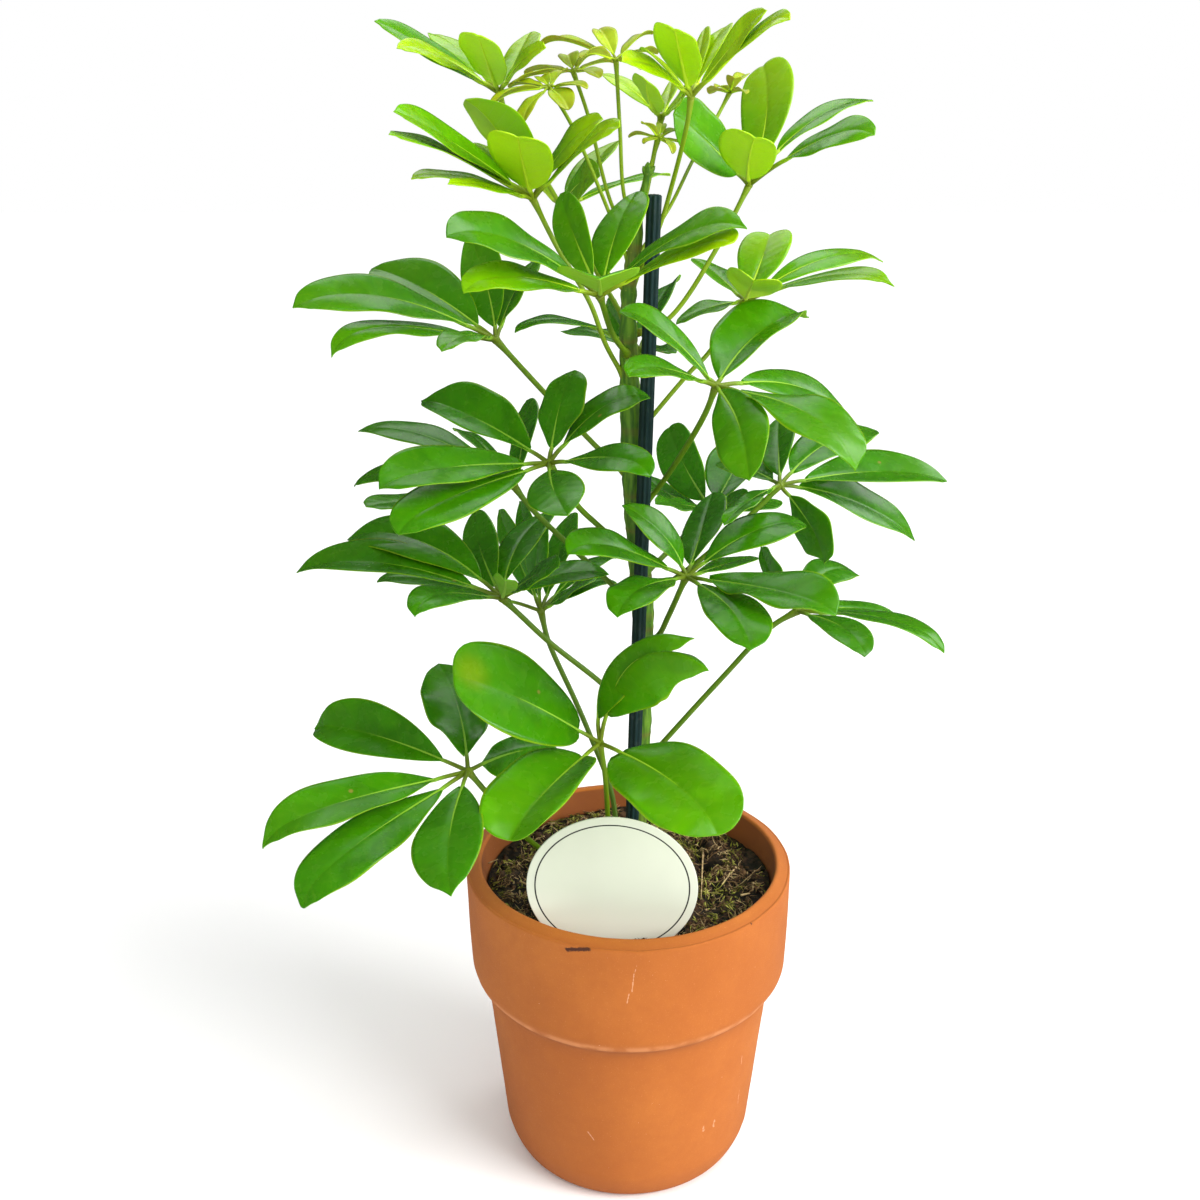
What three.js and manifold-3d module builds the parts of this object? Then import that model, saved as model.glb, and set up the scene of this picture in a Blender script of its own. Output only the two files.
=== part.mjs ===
// An umbrella plant in a terracotta pot, with its soil, its support stake and its oval label card.
// Millimetres, +Z up, +X to the right and +Y to the back; the origin is the centre of the pot's foot.
import * as THREE from 'three';
import { mergeVertices } from 'three/addons/utils/BufferGeometryUtils.js';
import Module from 'manifold-3d';

const wasm = await Module();
wasm.setup();

// Driving dimensions of the pot: a standard 14 cm clay pot. Radii are rim, band and bandFoot (the band
// under the rim and its lower edge), shoulder (below the band), heel (above the rounded foot), foot,
// floor and drain. Heights have the same names. lip is how much the top edges are cut, and slope is
// how far the top of the wall drops from its inner to its outer edge.
const POT = {
  rim: 70, band: 69.2, bandFoot: 68, shoulder: 62.8, heel: 55, heelPull: 51.5, foot: 46, drain: 7,
  wall: 6.5, floorRound: 5, lip: 0.8, slope: 2.2, sides: 40, heelSteps: 4,
};
const POT_HEIGHT = { rim: 142.8, band: 95, bandFoot: 92, shoulder: 87, heel: 14, floor: 8 };

// Driving dimensions of the soil: its height, how far it keeps from the wall and how uneven it is.
// A wave is how often it goes round, how far it turns with the radius and where it starts.
const SOIL = {
  top: 132, side: 0.5, swell: 2.2, waveShare: 0.4, waves: [[3, 0.15, 0], [5, -0.31, 1]],
  sinkPower: 4, rings: 3, sides: 20,
};

// Driving dimensions of the stake, a ribbed rod that leans a little to the right.
const STAKE = {
  radius: 2.5, rib: 0.35, ribs: 8, sides: 24, chamfer: 0.5,
  foot: [-1.1, -3.6, 60], head: [7.6, -3.6, 424],
};

// Driving dimensions of the label card and the pick that it stands on. Lean is how far it tips back,
// and roll is how far its right end hangs lower, both in degrees.
const CARD = {
  wide: 70, high: 60, thick: 0.8, lean: 10, roll: 5, centre: [-7.4, -43.6, 153.6], sides: 14,
};
const PICK = { wide: 8, tip: 2, long: 26, lap: 3 };

// Driving dimensions of the stem, from below the soil to the growing tip: radii, the share of its
// length where it starts to taper, its end below the soil and its place on the soil.
const STEM = {
  foot: 4.2, waist: 4.0, tip: 1.3, taper: 0.7, end: [2.5, 4.5, 68], entry: [3, 4], sides: 8, steps: 18,
};

// Driving dimensions of a leaf's stalk: radii, how far its boss stands past the hub, the size of a young
// one, how deep it goes into the soil, and its steps, with a few more where it is longer than most.
const STALK = {
  radius: 1.3, hub: 2.2, root: 2.0, boss: 1.8, bossTip: 1.3, young: 0.62, buried: 15,
  sides: 5, steps: 4, long: 75, longSteps: 6,
};

// Driving dimensions of the small stalks at a hub: their share of the leaflet's length and their section.
const SPOKE = { share: 0.15, half: 0.9, thick: 1.5, young: 0.6 };

// Driving dimensions of the blades. arch is the rise of a blade as a share of its length, curl says how
// far its highest part lies towards the tip, by curlRise and curlDrop, and stations are the shares where
// it has a section. The half width grows with a power of the way, rise or roundRise, and shrinks with
// another one, which is blunt times that of a blade that is widest at the same place.
const BLADE = {
  thick: 0.8, widest: 0.55, arch: 0.07, curl: 0.3, curlRise: 0.3, curlDrop: 0.5,
  rise: 1, roundRise: 0.75, blunt: 0.75, stations: [0.2, 0.46, 0.72, 0.93], youngStations: [0.6],
};

// How much a whorl of blades leans away from the stem.
const OUTWARD = 0.25;

// Space that neighbours which touch keep between them.
const GAP = 0.3;

// Points closer than this are one. A direction along a blade is taken over this share of its length.
// A line this close to upright counts as steep. A height is found by this many halvings.
const MERGE = 1e-4;
const SHARE_STEP = 0.01;
const STEEP = 0.9;
const HALVINGS = 30;

// The plant is placed by sight: a sight is a point of the 1200 pixel wide picture that was read to
// place it, and it stands for the line from the eye through that point.
const PICTURE = { middle: 600, focal: 1600 };
const EYE = new THREE.Vector3(-12.4, -606.8, 501.1);
const EYE_PITCH = THREE.MathUtils.degToRad(21.5);
const EYE_RIGHT = new THREE.Vector3(1, 0, 0);
const EYE_UP = new THREE.Vector3(0, Math.sin(EYE_PITCH), Math.cos(EYE_PITCH));
const EYE_FORWARD = new THREE.Vector3(0, Math.cos(EYE_PITCH), -Math.sin(EYE_PITCH));

// The stem's centre line: a sight and how far it lies behind the pot's axis.
const STEM_SIGHTS = [
  [[641, 725], 4], [[643, 610], 4], [[637, 540], 4], [[634, 500], 4],
  [[631, 420], 4], [[628.5, 340], 3], [[629, 290], 2], [[635, 245], 1], [[642, 200], 0], [[649, 168], -1],
];

// Leaves. hub is the sight of the point where the blades meet and its depth along the view.
// root is the height where the stalk meets the stem, and soil is the place where it enters the soil.
// via lists sights that the stalk passes, some with how far they lie behind the pot's axis. A row of
// blades is: the sight of the tip, then of the far edge, the midrib and the near edge three fifths of
// the way along, then the length, the width and the lean, which is above 0 where the tip is farther
// from the eye than the hub, below 0 where it is nearer, and 1 or -1 where it is fully so.
const LEAVES = {
  leaf_low_left: {
    hub: [468, 771, 625], soil: [-23, 3], via: [[525, 836], [545, 852]],
    blades: [
      [[307, 724], [368, 699], [368, 733], [352, 753], 80, 26, 1],
      [[254, 849], [325, 780], [337, 803], [345, 820], 88, 24, -1, { curl: 0.9 }],
      [[296, 912], [330, 832], [358, 843], [383, 860], 92, 28, -1, { curl: 0.9 }],
      [[450, 895], [412, 840], [449, 838], [484, 838], 78, 29, -1],
      [[438, 662], [421, 702], [457, 704], [492, 706], 72, 29, 1],
      [[562, 750], [528, 733], [525, 750], [515, 783], 66, 26, 1],
    ],
  },
  leaf_low_front: {
    hub: [600, 743, 640], soil: [-8, -2], via: [[605, 775]],
    blades: [
      [[449, 673], [531, 657], [513, 695], [488, 725], 78, 44, -1, { round: 1 }],
      [[507, 845], [503, 768], [537, 800], [557, 811], 76, 40, -1, { round: 1 }],
      [[718, 834], [706, 751], [680, 787], [652, 823], 80, 44, -1, { round: 1 }],
      [[696, 629], [630, 664], [618, 655], [646, 676], 66, 30, -0.6],
      [[710, 668], [654, 668], [641, 657], [667, 701], 66, 36, -1],
    ],
  },
  leaf_left_front: {
    hub: [502, 598, 640], root: 206, via: [[520, 615], [548, 641], [600, 682]],
    blades: [
      [[294, 570], [382, 538], [377, 562], [375, 572], 88, 28, 1],
      [[344, 536], [420, 514], [412, 538], [400, 556], 80, 30, 1],
      [[414, 618], [440, 583], [445, 593], [447, 604], 60, 24, -1, { curl: 0.8 }],
      [[472, 508], [460, 546], [479, 546], [501, 546], 66, 28, 1],
      [[555, 509], [508, 532], [521, 539], [535, 546], 66, 26, 1],
      [[557, 566], [535, 565], [537, 573], [537, 583], 52, 24, -1, { curl: 0.6 }],
      [[610, 572], [566, 560], [563, 573], [560, 584], 58, 24, 0.1],
      [[506, 577], [493, 582], [506, 586], [519, 582], 50, 26, -1],
    ],
  },
  leaf_left_back: {
    hub: [541, 611, 702], soil: [-4.5, 6], via: [[548, 640], [575, 700], [590, 735], [612, 795]],
    blades: [
      [[375, 580], [425, 571], [430, 579], [428, 586], 74, 22, 0.3],
      [[600, 571], [574, 582], [572, 589], [570, 596], 50, 24, -0.2],
      [[617, 582], [592, 576], [594, 582], [596, 588], 58, 22, 0.2],
      [[616, 558], [590, 556], [590, 563], [590, 572], 66, 22, 1],
      [[546, 524], [524, 555], [536, 556], [548, 556], 56, 26, -0.3],
      [[568, 511], [546, 545], [560, 548], [574, 546], 64, 26, 1],
      [[497, 509], [500, 548], [514, 550], [526, 548], 62, 24, 1],
      [[517, 500], [518, 542], [529, 544], [540, 544], 66, 22, 1],
    ],
  },
  leaf_mid_left_front: {
    hub: [549, 463, 600], root: 277, via: [[577, 505], [600, 527]],
    blades: [
      [[419, 397], [489, 387], [472, 416], [463, 428], 70, 28, 1],
      [[378, 489], [443, 442], [447, 467], [446, 484], 76, 28, -1, { curl: 0.7 }],
      [[396, 534], [441, 476], [452, 496], [464, 517], 80, 31, -1, { curl: 0.7 }],
      [[567, 513], [523, 492], [554, 491], [587, 488], 58, 28, -1],
      [[651, 477], [610, 442], [613, 457], [612, 471], 58, 26, -1, { curl: 0.7 }],
      [[652, 395], [600, 392], [607, 404], [616, 414], 58, 24, 0.1],
      [[573, 367], [540, 403], [560, 403], [586, 399], 56, 24, 0.3],
    ],
  },
  leaf_mid_left_back: {
    hub: [514, 486, 650], root: 254, via: [[530, 507], [567, 543], [607, 580]],
    blades: [
      [[357, 430], [423, 422], [422, 434], [420, 446], 72, 24, 1],
      [[353, 487], [400, 459], [408, 471], [420, 482], 72, 24, 1, { curl: 0.7 }],
      [[367, 504], [410, 491], [412, 500], [415, 509], 68, 24, -1],
      [[524, 398], [511, 430], [523, 432], [537, 430], 62, 26, 1],
      [[455, 427], [482, 436], [480, 442], [476, 448], 52, 22, 1],
      [[418, 447], [458, 455], [460, 462], [458, 470], 56, 22, 0.5],
    ],
  },
  leaf_upper_left: {
    hub: [496, 340, 625], root: 312, via: [[541, 389], [587, 437], [600, 450]],
    blades: [
      [[291, 305], [380, 276], [376, 295], [374, 312], 84, 26, -1],
      [[371, 268], [436, 261], [421, 287], [410, 305], 70, 32, 1],
      [[327, 358], [396, 318], [395, 326], [393, 335], 74, 20, -1, { curl: 0.9 }],
      [[441, 349], [456, 329], [466, 335], [471, 341], 50, 22, -1],
      [[468, 232], [459, 274], [485, 280], [507, 278], 60, 28, 1],
      [[540, 256], [507, 283], [517, 286], [527, 288], 54, 24, 1],
    ],
  },
  leaf_upper_front: {
    hub: [600, 296, 560], root: 362, via: [[613, 335]],
    blades: [
      [[446, 234], [517, 221], [508, 238], [500, 252], 68, 28, -1],
      [[461, 291], [518, 262], [517, 276], [515, 289], 60, 24, -1, { curl: 0.6 }],
      [[560, 193], [551, 228], [572, 231], [592, 232], 56, 24, 1],
      [[637, 191], [598, 222], [618, 226], [641, 228], 58, 26, 1],
      [[748, 226], [683, 219], [687, 232], [692, 241], 66, 26, -1],
      [[734, 240], [690, 237], [691, 247], [692, 256], 62, 20, -1],
      [[599, 274], [557, 271], [600, 281], [641, 267], 56, 31, -1],
    ],
  },
  leaf_high_left: {
    hub: [533, 199, 585], root: 350, via: [[556, 245], [590, 303], [606, 345]],
    blades: [
      [[394, 110], [455, 127], [449, 139], [446, 146], 72, 22, -1],
      [[388, 133], [442, 144], [444, 149], [447, 154], 70, 18, -1],
      [[410, 177], [460, 171], [460, 175], [460, 180], 62, 20, -0.5],
      [[447, 182], [484, 180], [486, 185], [488, 190], 52, 18, -1],
      [[518, 129], [490, 155], [522, 157], [553, 157], 54, 25, -1, { round: 1 }],
      [[466, 97], [483, 136], [500, 131], [525, 119], 58, 34, -0.3],
      [[482, 143], [505, 149], [499, 156], [490, 161], 56, 20, 0.4],
      [[603, 118], [561, 136], [568, 143], [576, 149], 52, 24, -0.5],
      [[617, 123], [582, 139], [584, 144], [586, 149], 60, 20, -1],
    ],
  },
  leaf_high_back: {
    hub: [562, 207, 640], root: 374, via: [[590, 260]],
    blades: [
      [[671, 173], [629, 176], [631, 179], [632, 182], 62, 16, 1],
      [[617, 138], [579, 161], [591, 166], [603, 164], 50, 24, 1],
      [[599, 175], [574, 168], [580, 182], [582, 196], 42, 26, -1],
      [[520, 155], [528, 172], [536, 178], [546, 178], 46, 22, 1],
    ],
  },
  leaf_top_left: {
    hub: [499, 93, 596], root: 387, via: [[512, 130], [548, 184], [590, 255]],
    blades: [
      [[375, 22], [433, 39], [425, 46], [418, 53], 60, 22, -0.3],
      [[397, 45], [440, 48], [437, 54], [435, 61], 54, 18, -1],
      [[432, 33], [468, 42], [460, 49], [448, 53], 50, 22, 1],
      [[478, 32], [464, 56], [486, 56], [504, 56], 48, 20, -1, { round: 1 }],
      [[530, 31], [503, 55], [518, 54], [536, 50], 50, 22, 1],
      [[545, 47], [518, 55], [523, 59], [527, 63], 46, 17, -1],
    ],
  },
  leaf_top_right: {
    hub: [691, 97, 560], root: 386, via: [[688, 120], [672, 185, 1], [659, 228, 4]],
    blades: [
      [[764, 8], [722, 40], [734, 42], [746, 40], 50, 22, -0.6],
      [[788, 16], [754, 27], [756, 32], [757, 37], 54, 16, -1],
      [[727, 23], [700, 45], [710, 48], [722, 46], 46, 20, 1],
      [[675, 23], [657, 49], [680, 50], [700, 50], 46, 20, -1, { round: 1 }],
      [[705, 27], [692, 52], [699, 54], [707, 54], 46, 18, 1],
      [[641, 45], [659, 57], [664, 64], [668, 70], 40, 18, 1],
      [[622, 60], [654, 58], [654, 66], [652, 73], 46, 18, -1],
    ],
  },
  leaf_top_back: {
    hub: [661, 118, 606], root: 405, via: [[645, 200]],
    blades: [
      [[602, 71], [634, 80], [631, 88], [627, 95], 42, 18, 1],
      [[648, 79], [636, 89], [649, 95], [662, 93], 38, 24, -1],
      [[672, 78], [662, 92], [669, 94], [676, 93], 38, 18, 1],
      [[692, 84], [676, 95], [679, 98], [682, 101], 36, 16, -1],
    ],
  },
  leaf_high_right: {
    hub: [749, 185, 612], root: 370, via: [[733, 217], [717, 248], [667, 320]],
    blades: [
      [[766, 63], [741, 105], [767, 104], [792, 103], 66, 27, 1, { round: 1 }],
      [[758, 130], [717, 152], [750, 155], [778, 149], 48, 28, -1, { round: 1 }],
      [[675, 113], [724, 122], [704, 138], [688, 156], 58, 29, -0.4, { round: 1 }],
      [[874, 97], [812, 109], [817, 117], [825, 122], 66, 21, 1, { stalk: 0.28 }],
      [[874, 131], [824, 126], [826, 137], [827, 149], 62, 22, -1, { stalk: 0.28 }],
    ],
  },
  leaf_mid_right_back: {
    hub: [745, 301, 642], root: 328, via: [[706, 356], [690, 372]],
    blades: [
      [[771, 228], [738, 250], [764, 252], [790, 248], 46, 22, 1, { round: 1 }],
      [[756, 275], [724, 280], [751, 287], [785, 281], 48, 34, -1, { round: 1 }],
      [[886, 257], [826, 248], [829, 257], [832, 268], 66, 22, 1],
      [[896, 281], [836, 268], [836, 274], [836, 281], 70, 20, -1],
      [[693, 257], [724, 267], [717, 274], [711, 278], 50, 22, 1],
      [[675, 323], [703, 301], [706, 308], [710, 313], 42, 22, -0.2],
    ],
  },
  leaf_mid_right_front: {
    hub: [716, 386, 580], root: 297, via: [[704, 416], [656, 491, 5]],
    blades: [
      [[619, 308], [673, 320], [662, 329], [655, 334], 60, 24, -0.2],
      [[628, 376], [661, 357], [661, 367], [663, 376], 54, 24, -1, { curl: 0.6 }],
      [[811, 306], [741, 303], [762, 330], [771, 338], 70, 34, 1],
      [[747, 479], [710, 430], [741, 432], [774, 434], 66, 32, -1],
      [[857, 472], [822, 396], [808, 413], [797, 430], 76, 34, -1, { curl: 0.6 }],
      [[862, 436], [818, 380], [812, 391], [803, 402], 70, 30, 1],
    ],
  },
  leaf_right: {
    hub: [780, 485, 662], root: 260, via: [[758, 508], [700, 560]],
    blades: [
      [[949, 479], [880, 449], [881, 471], [882, 482], 76, 30, 1],
      [[918, 539], [868, 486], [860, 503], [857, 515], 76, 28, 1],
      [[820, 562], [792, 531], [813, 531], [836, 533], 60, 27, -0.1, { curl: 0.6 }],
      [[779, 416], [759, 441], [778, 442], [796, 441], 58, 26, 1],
      [[879, 428], [818, 425], [832, 440], [845, 455], 72, 30, 1],
      [[716, 462], [750, 455], [745, 467], [742, 476], 58, 24, 1],
      [[723, 524], [748, 491], [748, 501], [746, 511], 56, 24, -1],
    ],
  },
  leaf_low_right_front: {
    hub: [686, 577, 622], root: 238, via: [[668, 617], [657, 637, 5]],
    blades: [
      [[622, 504], [674, 524], [662, 533], [651, 540], 60, 24, -0.1],
      [[566, 554], [617, 531], [614, 546], [612, 558], 62, 26, -1, { curl: 0.6 }],
      [[617, 618], [632, 573], [640, 588], [650, 602], 56, 30, -1, { curl: 0.6 }],
      [[712, 491], [684, 523], [703, 524], [723, 524], 62, 26, 1],
      [[808, 523], [752, 512], [758, 529], [765, 545], 62, 28, 0.5],
      [[838, 613], [783, 566], [777, 590], [773, 604], 76, 32, -1, { curl: 0.6 }],
      [[750, 650], [756, 596], [734, 612], [716, 629], 72, 33, -1],
      [[756, 556], [728, 556], [730, 562], [733, 568], 56, 22, 1],
    ],
  },
  leaf_low_right_back: {
    hub: [797, 611, 660], root: 183, via: [[771, 627], [720, 680]],
    blades: [
      [[948, 652], [893, 612], [890, 619], [888, 625], 76, 24, -0.5, { curl: 0.6 }],
      [[901, 617], [862, 600], [861, 608], [859, 615], 62, 22, 1],
      [[865, 657], [852, 617], [843, 627], [833, 637], 60, 24, -1, { curl: 0.6 }],
      [[861, 573], [822, 556], [828, 571], [834, 586], 60, 26, 1],
      [[760, 546], [762, 578], [774, 580], [785, 576], 56, 24, 1],
    ],
  },
  leaf_mid_back: {
    hub: [712, 510, 707], root: 270, via: [[680, 540]],
    blades: [
      [[668, 425], [656, 461], [682, 461], [705, 462], 66, 32, 1, { round: 1 }],
      [[757, 430], [713, 448], [737, 464], [757, 474], 68, 34, 1],
      [[645, 471], [668, 484], [663, 490], [657, 496], 58, 24, 1],
      [[656, 501], [680, 498], [682, 504], [684, 510], 50, 22, -1],
      [[746, 492], [727, 495], [731, 501], [733, 508], 46, 22, -1],
      [[782, 500], [752, 496], [753, 504], [753, 512], 50, 24, 1],
    ],
  },
  leaf_upper_back: {
    hub: [640, 350, 656], root: 338, via: [],
    blades: [
      [[513, 331], [563, 316], [563, 319], [563, 323], 64, 20, -0.5],
      [[563, 331], [590, 325], [590, 331], [588, 337], 52, 22, 1],
      [[604, 301], [606, 322], [617, 322], [626, 314], 50, 24, 1],
      [[677, 276], [647, 300], [658, 303], [668, 299], 60, 26, 1],
      [[676, 352], [662, 343], [660, 348], [658, 352], 40, 18, -1],
    ],
  },
};

// Young leaves near the growing tip. A row of blades is the sight of the tip, the length, the width
// and the lean.
const YOUNG_LEAVES = {
  young_leaf_left: {
    hub: [549, 87, 578], root: 396, via: [[570, 122], [584, 152], [604, 200]],
    blades: [
      [[489, 104], 26, 7, -1], [[521, 121], 22, 8, -1], [[569, 108], 18, 9, -1], [[588, 87], 18, 6, -1],
      [[508, 86], 18, 6, 1], [[540, 76], 12, 6, 1], [[566, 70], 14, 6, 1],
    ],
  },
  young_leaf_middle: {
    hub: [573, 71, 592], root: 402, via: [[588, 115], [610, 200]],
    blades: [
      [[524, 73], 22, 7, 1], [[510, 84], 26, 7, -1], [[567, 53], 12, 8, 1], [[595, 52], 14, 7, 1],
      [[600, 76], 18, 8, -1], [[616, 62], 20, 6, 1],
    ],
  },
  young_leaf_top: {
    hub: [616, 60, 580], root: 408, via: [[620, 130], [624, 195]],
    blades: [
      [[598, 27], 18, 9, 1], [[652, 30], 20, 9, 1], [[537, 39], 34, 8, 1], [[580, 54], 20, 7, -1],
      [[658, 52], 22, 7, 1], [[642, 66], 18, 8, -1],
    ],
  },
  young_leaf_low: {
    hub: [659, 137, 592], root: 410, via: [[650, 168], [640, 197]],
    blades: [
      [[642, 122], 12, 4, -1], [[628, 135], 14, 4, 1], [[643, 143], 8, 4, -1], [[674, 152], 13, 4, -1],
      [[681, 130], 14, 4, 1], [[692, 149], 16, 4, 1], [[662, 122], 10, 4, 1],
    ],
  },
  young_leaf_right: {
    hub: [730, 92, 625], root: 398, via: [[717, 117], [693, 160], [668, 210, 12]],
    blades: [
      [[747, 92], 12, 5, -1], [[716, 86], 12, 5, -1], [[747, 72], 16, 6, 1], [[735, 77], 12, 6, -1],
      [[709, 92], 14, 7, 1],
    ],
  },
};

// Points on the lines of sight

function sightLine([x, y]) {
  return EYE_FORWARD.clone()
    .addScaledVector(EYE_RIGHT, (x - PICTURE.middle) / PICTURE.focal)
    .addScaledVector(EYE_UP, (PICTURE.middle - y) / PICTURE.focal);
}

function atDepth([x, y, depth]) {
  return EYE.clone().addScaledVector(sightLine([x, y]), depth);
}

// The point of a sight's line that lies nearest to a place.
function nearestTo(place, sight) {
  const line = sightLine(sight);
  const along = place.clone().sub(EYE).dot(line) / line.lengthSq();
  return EYE.clone().addScaledVector(line, along);
}

// The point of a sight's line at a distance from a place, beyond it or before it by lean.
function atDistance(place, sight, distance, lean) {
  const point = nearestTo(place, sight);
  const spare = distance ** 2 - point.distanceToSquared(place);
  if (spare > 0) {
    point.addScaledVector(sightLine(sight).normalize(), lean * Math.sqrt(spare));
  }
  return point;
}

// The point of a sight's line at a distance behind the pot's axis.
function atSetback(sight, setback) {
  const line = sightLine(sight);
  return EYE.clone().addScaledVector(line, (setback - EYE.y) / line.y);
}

// The part of a direction that stands square to another.
function squareTo(direction, along) {
  return direction.clone().addScaledVector(along, -direction.dot(along)).normalize();
}

// Solids

// A solid from a closed geometry. Triangles that lose a side where a ring shrinks to a point are left out.
function solidOf(geometry) {
  geometry.deleteAttribute('normal');
  geometry.deleteAttribute('uv');
  const merged = mergeVertices(geometry, MERGE);
  const vertProperties = new Float32Array(merged.attributes.position.array);
  const corners = Array.from(merged.index.array);
  const isWhole = (_, place) => {
    const [a, b, c] = corners.slice(place - (place % 3), place - (place % 3) + 3);
    return a !== b && b !== c && c !== a;
  };
  const triVerts = new Uint32Array(corners.filter(isWhole));
  return new wasm.Manifold(new wasm.Mesh({ numProp: 3, vertProperties, triVerts }));
}

function geometryOf(solid) {
  const mesh = solid.getMesh();
  const geometry = new THREE.BufferGeometry();
  geometry.setAttribute('position', new THREE.BufferAttribute(new Float32Array(mesh.vertProperties), 3));
  geometry.setIndex(new THREE.BufferAttribute(new Uint32Array(mesh.triVerts), 1));
  return geometry;
}

// The largest body of a solid, without the scraps that a cut leaves.
function largestBody(solid) {
  const bodies = solid.decompose();
  return bodies.reduce((largest, body) => (body.volume() > largest.volume() ? body : largest));
}

// A closed skin over rings of points, all with the same number of points, capped at both ends.
function skinOver(rings) {
  const count = rings[0].length;
  const position = rings.flat().flatMap((point) => [point.x, point.y, point.z]);
  const index = [];
  for (let ring = 0; ring + 1 < rings.length; ring += 1) {
    for (let side = 0; side < count; side += 1) {
      const next = (side + 1) % count;
      const here = ring * count;
      const ahead = here + count;
      index.push(here + side, here + next, ahead + next);
      index.push(here + side, ahead + next, ahead + side);
    }
  }
  const last = (rings.length - 1) * count;
  for (let side = 1; side + 1 < count; side += 1) {
    index.push(0, side + 1, side);
    index.push(last, last + side, last + side + 1);
  }
  const geometry = new THREE.BufferGeometry();
  geometry.setAttribute('position', new THREE.BufferAttribute(new Float32Array(position), 3));
  geometry.setIndex(index);
  return geometry;
}

// A tapering stalk of a few sides along points, with a radius at each.
function stalkAlong(points, radii, sides) {
  const start = points[1].clone().sub(points[0]).normalize();
  let across = squareTo(Math.abs(start.z) > STEEP ? EYE_RIGHT : new THREE.Vector3(0, 0, 1), start);
  const rings = points.map((point, step) => {
    const before = points[Math.max(step - 1, 0)];
    const after = points[Math.min(step + 1, points.length - 1)];
    const along = after.clone().sub(before).normalize();
    across = squareTo(across, along);
    const upward = along.clone().cross(across);
    return Array.from({ length: sides }, (_, side) => {
      const angle = (side / sides) * 2 * Math.PI;
      return point.clone()
        .addScaledVector(across, radii[step] * Math.cos(angle))
        .addScaledVector(upward, radii[step] * Math.sin(angle));
    });
  });
  return solidOf(skinOver(rings));
}

// Stem

const stemCurve = new THREE.CatmullRomCurve3([
  new THREE.Vector3(...STEM.end),
  new THREE.Vector3(...STEM.entry, SOIL.top),
  ...STEM_SIGHTS.map(([sight, setback]) => atSetback(sight, setback)),
], false, 'centripetal');

function stemAt(height) {
  let low = 0;
  let high = 1;
  for (let halving = 0; halving < HALVINGS; halving += 1) {
    const middle = (low + high) / 2;
    if (stemCurve.getPoint(middle).z < height) {
      low = middle;
    } else {
      high = middle;
    }
  }
  return stemCurve.getPoint(low);
}

function stemSolid(extra) {
  const points = stemCurve.getSpacedPoints(STEM.steps);
  const radii = points.map((_, step) => {
    const share = step / STEM.steps;
    const taper = THREE.MathUtils.smoothstep(share, STEM.taper, 1);
    return THREE.MathUtils.lerp(THREE.MathUtils.lerp(STEM.foot, STEM.waist, share), STEM.tip, taper) + extra;
  });
  return stalkAlong(points, radii, STEM.sides);
}

// Leaves

// The direction that a whorl opens in: upward, and a little away from the stem.
function whorlAxis(hub) {
  const outward = new THREE.Vector3(hub.x, hub.y, 0).normalize();
  return new THREE.Vector3(0, 0, 1).addScaledVector(outward, OUTWARD).normalize();
}

const WIDEST_SHARE = SPOKE.share + (1 - SPOKE.share) * BLADE.widest;

// How far the midrib stands off its chord at a share of the length, as a share of its rise where the
// blade is widest. A curled blade keeps its height for longer and drops at the tip.
function archProfile(share, curl) {
  const rise = 1 + BLADE.curlRise * curl;
  const drop = 1 - BLADE.curlDrop * curl;
  const height = (at) => at ** rise * (1 - at) ** drop;
  return height(share) / height(WIDEST_SHARE);
}

// The half width at a share of the blade, as a share of its largest.
function widthProfile(share, round) {
  const rise = round ? BLADE.roundRise : BLADE.rise;
  const drop = (BLADE.blunt * rise * (1 - BLADE.widest)) / BLADE.widest;
  const width = (at) => at ** rise * (1 - at) ** drop;
  return width(share) / width(rise / (rise + drop));
}

// The way ahead along a midrib.
function headingAt(midrib, share) {
  return midrib(share + SHARE_STEP).sub(midrib(share - SHARE_STEP)).normalize();
}

// A blade's frame: its midrib as a function of the share of its length, and the two half widths.
function bladeFrame(hub, axis, tip, length, lean, width, shape, marks) {
  const tipPoint = atDistance(hub, tip, length, lean);
  const chord = tipPoint.clone().sub(hub);
  const along = chord.clone().normalize();
  const upward = squareTo(axis, along);
  const arched = hub.clone().addScaledVector(chord, WIDEST_SHARE)
    .addScaledVector(upward, (shape.arch ?? BLADE.arch) * chord.length());
  const ribPoint = marks ? nearestTo(arched, marks.rib) : arched;
  const bow = ribPoint.clone().sub(hub).addScaledVector(chord, -WIDEST_SHARE);
  const midrib = (share) => hub.clone()
    .addScaledVector(chord, share)
    .addScaledVector(bow, archProfile(share, shape.curl ?? BLADE.curl));
  const heading = headingAt(midrib, WIDEST_SHARE);
  const edges = marks
    ? [[marks.far, 1], [marks.near, -1]].map(([edge, side]) => {
      const half = atDistance(ribPoint, edge, width / 2, side).sub(ribPoint);
      return half.addScaledVector(heading, -half.dot(heading));
    })
    : [1, -1].map((side) => along.clone().cross(upward).multiplyScalar((side * width) / 2));
  return { midrib, edges };
}

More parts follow.
